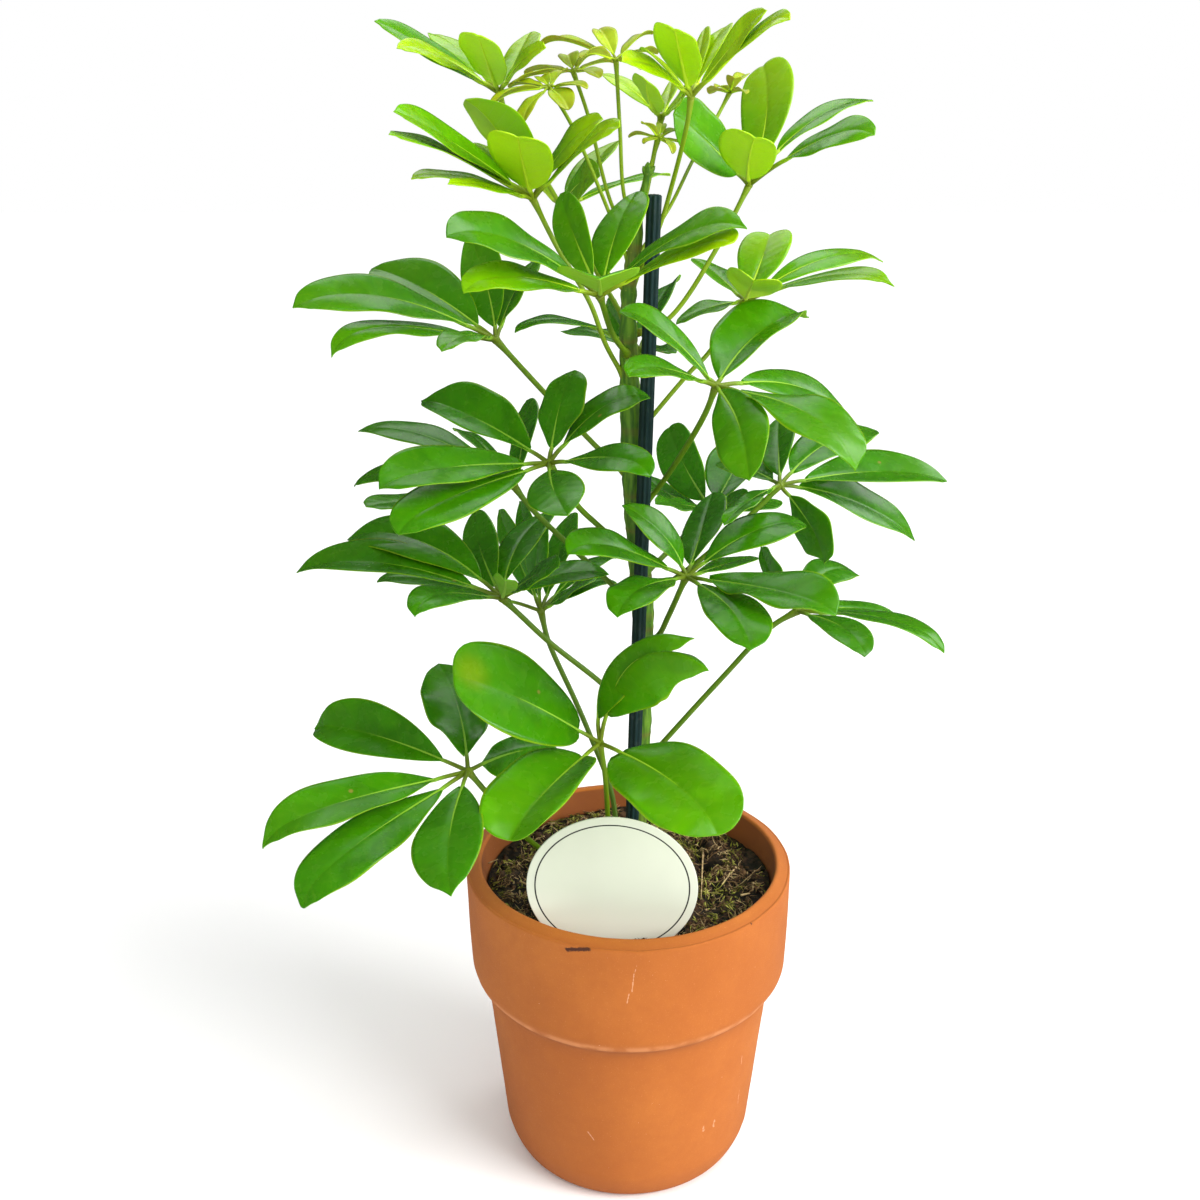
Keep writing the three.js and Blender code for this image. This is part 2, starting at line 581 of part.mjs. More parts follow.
// One leaflet: a small stalk that starts as a point at the hub, then a thin blade folded along its
// midrib, which ends in a point again.
function leafletSolid({ midrib, edges }, shape) {
  const start = shape.stalk ?? SPOKE.share;
  const size = shape.young ? SPOKE.young : 1;
  const ringAt = (share, halfWidths, thick) => {
    const heading = headingAt(midrib, share);
    const halves = edges.map((edge, side) => squareTo(edge, heading).multiplyScalar(halfWidths[side]));
    const across = halves[0].clone().sub(halves[1]).normalize();
    const lift = heading.clone().cross(across).normalize().multiplyScalar(thick / 2);
    const section = [halves[0], new THREE.Vector3(), halves[1]];
    const top = section.map((half) => midrib(share).add(half).add(lift));
    const bottom = section.reverse().map((half) => midrib(share).add(half).sub(lift));
    return [...top, ...bottom];
  };
  const pointAt = (share) => Array.from({ length: 6 }, () => midrib(share));
  const spoke = ringAt(start, [SPOKE.half * size, SPOKE.half * size], SPOKE.thick * size);
  const blade = (shape.young ? BLADE.youngStations : BLADE.stations).map((station) => {
    const spread = widthProfile(station, shape.round);
    return ringAt(start + (1 - start) * station, edges.map((edge) => edge.length() * spread), BLADE.thick);
  });
  return solidOf(skinOver([pointAt(0), spoke, ...blade, pointAt(1)]));
}

// The stalk runs from the hub, past its sights, to the stem or into the soil.
function stalkSolid(hub, leaf) {
  const root = leaf.root ? stemAt(leaf.root) : new THREE.Vector3(...leaf.soil, SOIL.top);
  const buried = root.clone().setZ(SOIL.top - STALK.buried);
  const line = new THREE.Line3(hub, root);
  const passed = leaf.via.map((sight) => {
    if (sight.length === 3) {
      return atSetback(sight, sight[2]);
    }
    const ray = new THREE.Ray(EYE, sightLine(sight).normalize());
    const onSight = new THREE.Vector3();
    ray.distanceSqToSegment(line.start, line.end, onSight);
    return onSight;
  });
  const ends = leaf.root ? [root] : [root, buried];
  const curve = new THREE.CatmullRomCurve3([hub, ...passed, ...ends], false, 'centripetal');
  const points = curve.getSpacedPoints(curve.getLength() > STALK.long ? STALK.longSteps : STALK.steps);
  const size = leaf.size ?? 1;
  const boss = points[0].clone().sub(points[1]).setLength(STALK.boss * size).add(hub);
  const radii = [STALK.bossTip, STALK.hub, ...points.slice(2).map(() => STALK.radius), STALK.root];
  return stalkAlong([boss, ...points], radii.map((radius) => radius * size), STALK.sides);
}

function leafSolid(leaf, stemSpace) {
  const hub = atDepth(leaf.hub);
  const axis = whorlAxis(hub);
  const parts = [stalkSolid(hub, leaf)];
  leaf.blades.forEach(([tip, far, rib, near, length, width, lean, shape = {}]) => {
    const marks = rib && { far, rib, near };
    const frame = bladeFrame(hub, axis, tip, length, lean, width, shape, marks);
    parts.push(leafletSolid(frame, shape));
  });
  return largestBody(wasm.Manifold.union(parts).subtract(stemSpace));
}

// Pot, soil, stake and card

// The pot's section: the outside from the foot up to the lip, and the inside back down to the floor.
function potProfile() {
  const { rim, band, bandFoot, shoulder, heel, heelPull, foot, drain, wall, floorRound, lip, slope } = POT;
  const height = POT_HEIGHT;
  const heelCurve = new THREE.QuadraticBezierCurve(
    new THREE.Vector2(foot, 0), new THREE.Vector2(heelPull, 0), new THREE.Vector2(heel, height.heel),
  );
  const outside = [
    [shoulder, height.shoulder], [bandFoot, height.bandFoot], [band, height.band],
    [rim, height.rim - slope - lip], [rim - lip, height.rim - slope],
  ];
  const inside = [
    [rim - wall + lip, height.rim], [rim - wall, height.rim - lip], [shoulder - wall, height.shoulder],
    [heel - wall, height.heel], [heel - wall - floorRound, height.floor], [drain, height.floor], [drain, 0],
  ];
  const points = [...outside, ...inside].map((point) => new THREE.Vector2(...point));
  return [new THREE.Vector2(drain, 0), ...heelCurve.getPoints(POT.heelSteps), ...points];
}

function lathe(profile, sides) {
  return new THREE.LatheGeometry(profile, sides).rotateX(Math.PI / 2);
}

// The inner radius of the pot's wall at a height above its shoulder.
function wallRadius(height) {
  const { shoulder, rim } = POT_HEIGHT;
  return THREE.MathUtils.mapLinear(
    height, shoulder, rim - POT.lip, POT.shoulder - POT.wall, POT.rim - POT.wall,
  );
}

// The uneven top of the soil, at a radius and an angle.
function soilTop(radius, angle) {
  const rough = SOIL.waves.reduce((sum, [turns, twist, start]) => (
    sum + Math.sin(turns * angle + twist * radius + start)
  ), 0);
  const sink = (radius / wallRadius(SOIL.top)) ** SOIL.sinkPower;
  return SOIL.top + SOIL.swell * SOIL.waveShare * rough - sink;
}

// The soil fills the pot from its floor, with a hole for everything that stands in it.
function soilSolid(holes) {
  const ringAt = (radius, height) => Array.from({ length: SOIL.sides }, (_, side) => {
    const angle = (side / SOIL.sides) * 2 * Math.PI;
    const z = height ?? soilTop(radius, angle);
    return new THREE.Vector3(radius * Math.cos(angle), radius * Math.sin(angle), z);
  });
  const inset = POT.wall + SOIL.side;
  const edge = wallRadius(SOIL.top - SOIL.swell) - SOIL.side;
  const rings = [
    ringAt(POT.heel - inset - POT.floorRound, POT_HEIGHT.floor + GAP),
    ringAt(POT.heel - inset, POT_HEIGHT.heel),
    ringAt(POT.shoulder - inset, POT_HEIGHT.shoulder),
  ];
  for (let ring = 0; ring < SOIL.rings; ring += 1) {
    rings.push(ringAt(edge * (1 - ring / SOIL.rings)));
  }
  rings.push(ringAt(0, SOIL.top));
  return largestBody(solidOf(skinOver(rings)).subtract(wasm.Manifold.union(holes)));
}

// The stake: a rod with ribs along it and a small chamfer at its head.
function stakeSolid(extra) {
  const foot = new THREE.Vector3(...STAKE.foot);
  const head = new THREE.Vector3(...STAKE.head);
  const belowHead = head.clone().lerp(foot, STAKE.chamfer / head.distanceTo(foot));
  const ringAt = (centre, inset) => Array.from({ length: STAKE.sides }, (_, side) => {
    const angle = (side / STAKE.sides) * 2 * Math.PI;
    const radius = STAKE.radius + extra - inset + STAKE.rib * Math.cos(angle * STAKE.ribs);
    return new THREE.Vector3(radius * Math.cos(angle), radius * Math.sin(angle), 0).add(centre);
  });
  return solidOf(skinOver([ringAt(foot, 0), ringAt(belowHead, 0), ringAt(head, STAKE.chamfer)]));
}

// The label: an upright oval card on a tapering pick, leaning back, grown all round by extra.
function cardSolid(extra) {
  const depth = CARD.thick + 2 * extra;
  const half = [CARD.wide / 2 + extra, CARD.high / 2 + extra];
  const oval = new THREE.Shape().absellipse(0, 0, ...half, 0, 2 * Math.PI);
  const foot = -CARD.high / 2 - PICK.long - extra;
  const lap = -CARD.high / 2 + PICK.lap;
  const pick = new THREE.Shape([
    new THREE.Vector2(-PICK.wide / 2 - extra, lap),
    new THREE.Vector2(-PICK.tip / 2 - extra, foot),
    new THREE.Vector2(PICK.tip / 2 + extra, foot),
    new THREE.Vector2(PICK.wide / 2 + extra, lap),
  ]);
  const [card, stick] = [oval, pick].map((outline) => {
    const geometry = new THREE.ExtrudeGeometry(outline, {
      depth, bevelEnabled: false, curveSegments: CARD.sides,
    });
    geometry.translate(0, 0, -depth / 2);
    geometry.rotateZ(-THREE.MathUtils.degToRad(CARD.roll));
    geometry.rotateX(Math.PI / 2 - THREE.MathUtils.degToRad(CARD.lean));
    geometry.translate(...CARD.centre);
    return solidOf(geometry);
  });
  return card.add(stick);
}

// The whole plant

function meshOf(name, geometry, colour, roughness) {
  const material = new THREE.MeshStandardMaterial({ color: colour, roughness, metalness: 0 });
  const mesh = new THREE.Mesh(geometry, material);
  mesh.name = name;
  return mesh;
}

const COLOUR = {
  clay: 0xc9783f, soil: 0x3a2a1c, stake: 0x1d3a3a, card: 0xe6e8dc, stem: 0x6f9130,
  leaf: 0x3f8a14, youngLeaf: 0x93b01e,
};

const youngWhorls = Object.fromEntries(Object.entries(YOUNG_LEAVES).map(([name, leaf]) => {
  const blades = leaf.blades.map(([tip, length, width, lean]) => (
    [tip, null, null, null, length, width, lean, { young: true }]
  ));
  return [name, { ...leaf, size: STALK.young, blades }];
}));
const whorls = { ...LEAVES, ...youngWhorls };
const stemSpace = stemSolid(GAP);
const soilStalks = Object.values(whorls).filter((leaf) => leaf.soil)
  .map((leaf) => stalkSolid(atDepth(leaf.hub), { ...leaf, size: 1 + GAP / STALK.radius }));

const umbrellaPlant = new THREE.Group();
umbrellaPlant.add(meshOf('pot', lathe(potProfile(), POT.sides), COLOUR.clay, 0.85));
const soilHoles = [stemSpace, stakeSolid(GAP), cardSolid(GAP), ...soilStalks];
umbrellaPlant.add(meshOf('soil', geometryOf(soilSolid(soilHoles)), COLOUR.soil, 1));
umbrellaPlant.add(meshOf('stake', geometryOf(stakeSolid(0)), COLOUR.stake, 0.5));
umbrellaPlant.add(meshOf('label_card', geometryOf(cardSolid(0)), COLOUR.card, 0.5));
umbrellaPlant.add(meshOf('stem', geometryOf(stemSolid(0)), COLOUR.stem, 0.6));
Object.entries(whorls).forEach(([name, leaf]) => {
  const colour = name in YOUNG_LEAVES ? COLOUR.youngLeaf : COLOUR.leaf;
  umbrellaPlant.add(meshOf(name, geometryOf(leafSolid(leaf, stemSpace)), colour, 0.45));
});

export default umbrellaPlant;
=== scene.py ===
# %% [markdown]
# # An umbrella plant in a terracotta pot
#
# A young umbrella plant grows up a thin green stake in a clay pot full of dark peat, with an oval
# label card at its foot. Its leaves are fans of glossy leaflets on long stalks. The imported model
# gives each piece its place and size. This notebook gives each piece its fine shape and its finish.
#
# All shapes are worked out as whole numpy arrays. A surface is a function of two parameters on a
# grid, and the grid goes into a mesh in one step.

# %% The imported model
import math

import bpy
import numpy as np
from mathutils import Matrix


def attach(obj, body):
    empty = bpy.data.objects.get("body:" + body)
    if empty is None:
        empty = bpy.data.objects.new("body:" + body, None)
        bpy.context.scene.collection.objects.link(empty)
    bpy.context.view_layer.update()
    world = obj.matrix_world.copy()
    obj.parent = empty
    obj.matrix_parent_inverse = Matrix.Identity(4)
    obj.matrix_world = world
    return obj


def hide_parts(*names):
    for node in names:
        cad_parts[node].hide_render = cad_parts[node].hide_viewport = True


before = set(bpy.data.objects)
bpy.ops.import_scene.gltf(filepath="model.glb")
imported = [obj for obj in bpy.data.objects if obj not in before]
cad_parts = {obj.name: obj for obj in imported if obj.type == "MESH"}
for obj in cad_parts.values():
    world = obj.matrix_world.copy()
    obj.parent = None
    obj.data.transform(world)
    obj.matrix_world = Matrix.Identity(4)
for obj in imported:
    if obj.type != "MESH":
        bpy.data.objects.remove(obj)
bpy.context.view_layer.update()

MM = 0.001
print("nodes in the packed model:", len(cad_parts))

# %% [markdown]
# ## The eye
#
# The plant was photographed from a little above, with a lens that neither stretches nor flattens
# it. The same eye serves twice here. It is Blender's camera, and it places the leaves: a sight is a
# point of the 1200 pixel wide picture, and it stands for the line from the eye through that point.
# A leaf is then found on its sights at a depth or at a distance, and not by trial.

# %% Camera
PICTURE = 1200
MIDDLE = PICTURE / 2
FOCAL = 1600
SENSOR = 36.0
EYE = np.array([-12.4, -606.8, 501.1])
LOOK_DOWN = math.radians(21.5)
RIGHT = np.array([1.0, 0.0, 0.0])
UP = np.array([0.0, math.sin(LOOK_DOWN), math.cos(LOOK_DOWN)])
FORWARD = np.array([0.0, math.cos(LOOK_DOWN), -math.sin(LOOK_DOWN)])

lens = bpy.data.cameras.new("studio_camera")
lens.sensor_width = SENSOR
lens.lens = SENSOR * FOCAL / PICTURE
camera = bpy.data.objects.new("studio_camera", lens)
camera.location = EYE * MM
camera.rotation_euler = (math.pi / 2 - LOOK_DOWN, 0.0, 0.0)
bpy.context.scene.collection.objects.link(camera)
bpy.context.scene.camera = camera
print("lens in mm:", lens.lens)


# %% Sights
def unit(vectors):
    """Vectors divided by their own lengths."""
    return vectors / np.linalg.norm(vectors, axis=-1, keepdims=True)


def sight_line(sight):
    """The direction of a sight, as long as it takes to go one unit deeper along the view."""
    x, y = sight[:2]
    return FORWARD + RIGHT * (x - MIDDLE) / FOCAL + UP * (MIDDLE - y) / FOCAL


def at_depth(sight, depth):
    """The point of a sight at a depth: the eye plus the depth times the sight's direction."""
    return EYE + sight_line(sight) * depth


def nearest_to(place, sight):
    """The point of a sight nearest to a place, by projecting the place on the sight's line."""
    line = sight_line(sight)
    return EYE + line * (np.dot(place - EYE, line) / np.dot(line, line))


def at_distance(place, sight, distance, lean):
    """The point of a sight at a distance from a place.

    The sight's nearest point, moved along the sight by lean times the other side of the right
    triangle whose long side is the distance.
    """
    point = nearest_to(place, sight)
    spare = distance ** 2 - np.sum((point - place) ** 2)
    return point + unit(sight_line(sight)) * lean * math.sqrt(max(spare, 0.0))


def at_setback(sight, setback):
    """The point of a sight at a distance behind the pot's axis."""
    line = sight_line(sight)
    return EYE + line * (setback - EYE[1]) / line[1]


print("the middle sight meets the pot's axis plane at", at_setback((MIDDLE, MIDDLE), 0.0).round(1))

# %% [markdown]
# ## Studio
#
# A pale floor in a white room gives soft light from everywhere. A sun with a very wide disc lights
# the right side and the floor evenly out to the horizon. Lamps above, behind and at the right make
# the leaves bright where the picture shows them bright, and a wide one in front opens the shade
# between them. Waxy leaves would mirror the white room and turn grey, so the room shows weaker in
# reflections, as it does behind a photographer's black flags, and of these lamps only the one at the
# right shows in them. Three more lamps do the opposite: they light nothing and only show in
# reflections, where they put the soft white sheen on the wax. The picture is shown with plain
# colours, because a film look would grey the bright greens.


# %% Lamps
def lamp(name, kind, place, watts, mirrored, lights=True, **settings):
    """A lamp at a place in metres, turned to look at the middle of the plant.

    It may show in reflections or not, and it may light matt surfaces or not.
    """
    light = bpy.data.lights.new(name, kind)
    light.energy = watts
    for key, value in settings.items():
        setattr(light, key, value)
    piece = bpy.data.objects.new(name, light)
    away = unit(np.array(place) - np.array(AIM))
    piece.location = place
    piece.visible_glossy = mirrored
    piece.visible_diffuse = lights
    piece.rotation_euler = (math.acos(away[2]), 0.0, math.atan2(away[1], away[0]) + math.pi / 2)
    bpy.context.scene.collection.objects.link(piece)


AIM = (0.0, 0.0, 0.25)
lamp("key_sun", "SUN", (1.2, -0.9, 1.25), 2.1, False, angle=math.radians(35))
lamp("window_lamp", "AREA", (1.0, -0.35, 0.6), 4.6, True, size=0.35)
lamp("top_lamp", "AREA", (0.35, -0.45, 1.3), 2.8, False, size=0.35)
lamp("back_lamp", "AREA", (0.7, 0.65, 1.1), 2.8, False, size=0.4)
lamp("gloss_lamp", "AREA", (0.45, 0.0, 1.2), 5.0, True, lights=False, size=0.6)
lamp("rear_gloss_lamp", "AREA", (-0.1, 1.0, 1.2), 2.2, True, lights=False, size=0.7)
lamp("side_gloss_lamp", "AREA", (1.5, 1.3, 1.2), 6.0, True, lights=False, size=0.9)
lamp("front_lamp", "AREA", (0.2, -1.3, 0.85), 2.8, False, size=0.9)

# %% Sky
SKY_SEEN, SKY_LIGHT, SKY_MIRRORED = 1.0, 0.75, 0.03
sky = bpy.data.worlds.new("studio_sky")
sky.use_nodes = True
tree = sky.node_tree
rays = tree.nodes.new("ShaderNodeLightPath")
strength = tree.nodes.new("ShaderNodeMix")
strength.inputs["A"].default_value = SKY_LIGHT
strength.inputs["B"].default_value = SKY_SEEN
tree.links.new(rays.outputs["Is Camera Ray"], strength.inputs["Factor"])
mirrored = tree.nodes.new("ShaderNodeMix")
mirrored.inputs["B"].default_value = SKY_MIRRORED
tree.links.new(rays.outputs["Is Glossy Ray"], mirrored.inputs["Factor"])
tree.links.new(strength.outputs["Result"], mirrored.inputs["A"])
background = tree.nodes["Background"]
background.inputs["Color"].default_value = (1.0, 1.0, 1.0, 1.0)
tree.links.new(mirrored.outputs["Result"], background.inputs["Strength"])
bpy.context.scene.world = sky
bpy.context.scene.view_settings.view_transform = "Standard"
print("sky strengths:", SKY_SEEN, SKY_LIGHT, SKY_MIRRORED)

# %% [markdown]
# ## Meshes from arrays
#
# Every piece below is made of patches. A patch is an array of points, the faces between them, a
# place on the surface for patterns that follow it, and three numbers that tell the material what
# each point belongs to. Blender can take all of them in one step with foreach_set, which is far
# quicker than adding points one by one.


# %% Patches
def patch(points, faces, across=0.0, along=0.0, kind=(0.0, 0.0, 0.0), look=0):
    """A patch from points, a list of face arrays, the place, the kind and its material's number."""
    points = np.asarray(points, float).reshape(-1, 3)
    count = len(points)
    place = np.empty((count, 2))
    place[:, 0] = np.ravel(across) if np.ndim(across) else across
    place[:, 1] = np.ravel(along) if np.ndim(along) else along
    kinds = np.empty((count, 3))
    for column in range(3):
        kinds[:, column] = np.ravel(kind[column]) if np.ndim(kind[column]) else kind[column]
    return {"points": points, "faces": faces, "place": place, "kind": kinds, "look": look}


def grid_faces(rows, columns, round_columns=False, flip=False):
    """Four-sided faces between neighbours on a grid, closed round its columns if asked.

    Seen from outside, columns run to the right and rows run up, unless the faces are flipped.
    """
    row = np.arange(rows - 1)[:, None]
    column = np.arange(columns if round_columns else columns - 1)[None, :]
    right = (column + 1) % columns
    low, high = row * columns, (row + 1) * columns
    faces = np.stack([low + column, low + right, high + right, high + column], axis=-1).reshape(-1, 4)
    return faces[:, ::-1] if flip else faces


def closed_rings(rings, poles, flip=False, **marks):
    """A patch from rings of points, closed at both ends by a fan of triangles round a pole."""
    count, sides = rings.shape[:2]
    first = np.arange(sides)
    after = (first + 1) % sides
    last = (count - 1) * sides
    fans = np.concatenate([
        np.stack([after, first, np.full(sides, count * sides)], axis=-1),
        np.stack([first + last, after + last, np.full(sides, count * sides + 1)], axis=-1),
    ])
    fans = fans[:, ::-1] if flip else fans
    points = np.concatenate([rings.reshape(-1, 3), poles])
    return patch(points, [grid_faces(count, sides, round_columns=True, flip=flip), fans], **marks)


def joined(patches):
    """One patch from several: points one after another, with the faces' numbers moved along."""
    starts = np.cumsum([0] + [len(each["points"]) for each in patches])
    faces = [
        (corners + start, each["look"])
        for each, start in zip(patches, starts)
        for corners in each["faces"]
    ]
    keys = ("points", "place", "kind")
    return {key: np.concatenate([each[key] for each in patches]) for key in keys}, faces


def make_piece(name, patches, looks, node):
    """A smooth mesh from patches in mm, with its materials, which stands for a node of the model."""
    whole, faces = joined(patches)
    corners = np.concatenate([group.ravel() for group, _ in faces]).astype(np.int32)
    sizes = np.concatenate([np.full(len(group), group.shape[1]) for group, _ in faces])
    look = np.concatenate([np.full(len(group), look) for group, look in faces])
    mesh = bpy.data.meshes.new(name)
    mesh.vertices.add(len(whole["points"]))
    mesh.vertices.foreach_set("co", (whole["points"] * MM).astype(np.float32).ravel())
    mesh.loops.add(len(corners))
    mesh.loops.foreach_set("vertex_index", corners)
    mesh.polygons.add(len(sizes))
    mesh.polygons.foreach_set("loop_start", (np.cumsum(sizes) - sizes).astype(np.int32))
    for material in looks:
        mesh.materials.append(material)
    mesh.polygons.foreach_set("material_index", look.astype(np.int32))
    mesh.polygons.foreach_set("use_smooth", np.ones(len(sizes), bool))
    mesh.update(calc_edges=True)
    layer = mesh.uv_layers.new(name="place")
    layer.uv.foreach_set("vector", whole["place"][corners].astype(np.float32).ravel())
    kind = mesh.attributes.new("kind", "FLOAT_VECTOR", "POINT")
    kind.data.foreach_set("vector", whole["kind"].astype(np.float32).ravel())
    mesh.validate()
    piece = bpy.data.objects.new(name, mesh)
    bpy.context.scene.collection.objects.link(piece)
    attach(piece, "root")
    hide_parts(node)
    print(f"{name}: {int(np.sum(sizes - 2))} triangles")


# %% [markdown]
# ## Uneven surfaces
#
# Clay, peat, bark and leaves are all a little uneven. Two kinds of noise give that. Waves are a few
# sines in random directions, for a slow swell. Lattice noise has a random value at each corner of a
# lattice of cubes and blends between them, for lumps. Both draw from seeded tables, so the plant is
# the same each time.


# %% Noise
def waves(points, length, seed, count=6):
    """The mean of a few sines of about one wave length in random directions, from -1 to 1."""
    draw = np.random.default_rng(seed)
    directions = unit(draw.normal(size=(count, 3))) * draw.uniform(0.7, 1.4, (count, 1))
    phases = draw.uniform(0.0, 2 * math.pi, count)
    return np.sin(points @ directions.T * (2 * math.pi / length) + phases).mean(axis=-1) * 2.0


def lumps(points, size, seed):
    """Lattice noise from -1 to 1: random corner values of cubes, blended by smooth steps."""
    table = np.random.default_rng(seed).uniform(-1.0, 1.0, 4096)
    cell = np.floor(points / size)
    inside = points / size - cell
    blend = inside * inside * (3 - 2 * inside)
    corner = cell.astype(np.int64)
    total = np.zeros(points.shape[:-1])
    for step in np.ndindex(2, 2, 2):
        at = corner + np.array(step)
        key = (at[..., 0] * 73856093) ^ (at[..., 1] * 19349663) ^ (at[..., 2] * 83492791)
        share = np.prod(np.where(np.array(step) == 1, blend, 1 - blend), axis=-1)
        total += share * table[key & 4095]
    return total


def smooth_step(value, low, high):
    """0 below low, 1 above high, and 3t^2 - 2t^3 of the share t between them."""
    share = np.clip((value - low) / (high - low), 0.0, 1.0)
    return share * share * (3 - 2 * share)


print("lumps at three places:", lumps(np.array([[0.0, 0, 0], [3, 1, 2], [9, 9, 9]]), 2.5, 1).round(2))

# %% [markdown]
# ## Building blocks of the finishes
#
# A finish is a small graph of nodes. The helpers below add one node each and give back its output,
# so that a finish reads like a sum. Grain and streaks are wanted by more than one finish, so each
# of them is a node group that is built once.


# %% Node helpers
def colour(red, green, blue):
    """A colour as the eye reads it, from 0 to 255, in Blender's linear numbers."""
    seen = np.array([red, green, blue]) / 255
    linear = np.where(seen <= 0.04045, seen / 12.92, ((seen + 0.055) / 1.055) ** 2.4)
    return (*linear.tolist(), 1.0)


def node(tree, kind, inputs, output=0, **settings):
    """A node with its settings and inputs, where an input is a number or another node's output."""
    made = tree.nodes.new(kind)
    for key, value in settings.items():
        setattr(made, key, value)
    for key, value in inputs.items():
        if isinstance(value, bpy.types.NodeSocket):
            tree.links.new(value, made.inputs[key])
        else:
            made.inputs[key].default_value = value
    return made.outputs[output]


def maths(tree, operation, *values):
    """One sum on numbers."""
    return node(tree, "ShaderNodeMath", dict(enumerate(values)), operation=operation)


def times(tree, first, second):
    """The product of two numbers."""
    return maths(tree, "MULTIPLY", first, second)


def plus(tree, first, second):
    """The sum of two numbers."""
    return maths(tree, "ADD", first, second)


def minus(tree, first, second):
    """The first number less the second."""
    return maths(tree, "SUBTRACT", first, second)


def vector_maths(tree, operation, *values, output=0):
    """One sum on vectors."""
    return node(tree, "ShaderNodeVectorMath", dict(enumerate(values)), output, operation=operation)


def part(tree, vector, axis):
    """One of a vector's three parts."""
    return node(tree, "ShaderNodeSeparateXYZ", {0: vector}, axis)


def carried(tree):
    """The three numbers that each point of a patch carries for its material."""
    kind = node(tree, "ShaderNodeAttribute", {}, "Vector", attribute_name="kind")
    return [part(tree, kind, axis) for axis in "XYZ"]


def mixed(tree, share, first, second, blend="MIX"):
    """Two colours mixed by a share."""
    inputs = {0: share, 6: first, 7: second}
    return node(tree, "ShaderNodeMix", inputs, 2, data_type="RGBA", blend_type=blend)


def tinted(tree, base, mask, strength, tint):
    """A colour that turns to a tint under a mask, at a strength."""
    return mixed(tree, times(tree, mask, strength), base, tint)


def swing(tree, value, reach):
    """A value from 0 to 1 as a swing round 0 over a reach."""
    return times(tree, minus(tree, value, 0.5), reach)


def stretched(tree, place, scale):
    """A place scaled along each of its axes, for a pattern that is drawn out one way."""
    return node(tree, "ShaderNodeMapping", {"Vector": place, "Scale": scale})


def stepped(tree, value, low, high, start=0.0, stop=1.0):
    """A number that goes smoothly from start to stop while the value goes from low to high."""
    inputs = {0: value, 1: low, 2: high, 3: start, 4: stop}
    return node(tree, "ShaderNodeMapRange", inputs, interpolation_type="SMOOTHSTEP")


def window(tree, value, rise, fall):
    """1 in a stretch of values and 0 outside it, from where it rises and where it falls."""
    return times(tree, stepped(tree, value, *rise), stepped(tree, value, *fall))


def object_place(tree):
    """The object's own coordinates, in metres."""
    return node(tree, "ShaderNodeTexCoord", {}, "Object")


def noise(tree, place, scale, detail=3.0, roughness=0.5):
    """Blender's noise texture at a number of lumps per metre."""
    inputs = {"Vector": place, "Scale": scale, "Detail": detail, "Roughness": roughness}
    return node(tree, "ShaderNodeTexNoise", inputs, 0)


def new_group(name, inputs, outputs):
    """An empty node group with named inputs and outputs, and its two end nodes."""
    group = bpy.data.node_groups.new(name, "ShaderNodeTree")
    for label, kind, default in inputs:
        socket = group.interface.new_socket(label, in_out="INPUT", socket_type=kind)
        if default is not None:
            socket.default_value = default
    for label, kind in outputs:
        group.interface.new_socket(label, in_out="OUTPUT", socket_type=kind)
    return group, group.nodes.new("NodeGroupInput").outputs, group.nodes.new("NodeGroupOutput").inputs


def grouped(tree, group, inputs, output=0):
    """A node group placed in a material."""
    return node(tree, "ShaderNodeGroup", inputs, output, node_tree=group)


def new_finish(name, **constants):
    """A material and its Principled shader, with the constants set on the shader's own sockets."""
    material = bpy.data.materials.new(name)
    material.use_nodes = True
    tree = material.node_tree
    shader = tree.nodes["Principled BSDF"]
    for key, value in constants.items():
        shader.inputs[key.replace("_", " ")].default_value = value
    return material, tree, shader.inputs


def bumped(tree, height, distance, strength=1.0):
    """A normal from a height in shares of a distance in metres."""
    inputs = {"Height": height, "Distance": distance, "Strength": strength}
    return node(tree, "ShaderNodeBump", inputs)


# %% Grain
grain, entry, result = new_group(
    "grain",
    [("Place", "NodeSocketVector", None), ("Coarse", "NodeSocketFloat", 400.0),
     ("Fine", "NodeSocketFloat", 3000.0)],
    [("Patches", "NodeSocketFloat"), ("Height", "NodeSocketFloat")],
)
coarse_noise = noise(grain, entry["Place"], entry["Coarse"], 4.0, 0.6)
fine_noise = noise(grain, entry["Place"], entry["Fine"], 2.0, 0.7)
grain.links.new(stepped(grain, coarse_noise, 0.3, 0.7), result["Patches"])
grain.links.new(plus(grain, times(grain, fine_noise, 0.6), times(grain, coarse_noise, 0.4)), result["Height"])


def clouds(tree, place, coarse):
    """The grain's patches, from 0 to 1."""
    return grouped(tree, grain, {"Place": place, "Coarse": coarse}, "Patches")


def grained(tree, shader, place, coarse, fine, distance, strength):
    """The grain's height as a bump on a shader's normal, for a height of 1 at a distance in metres."""
    height = grouped(tree, grain, {"Place": place, "Coarse": coarse, "Fine": fine}, "Height")
    tree.links.new(bumped(tree, height, distance, strength), shader["Normal"])


print("nodes in the grain group:", len(grain.nodes))

# %% Streak
streak, entry, result = new_group(
    "streak",
    [(name, "NodeSocketVector", None) for name in ("Place", "Start", "End")]
    + [("Width", "NodeSocketFloat", 0.001), ("Ragged", "NodeSocketFloat", 0.5)],
    [("Mask", "NodeSocketFloat")],
)
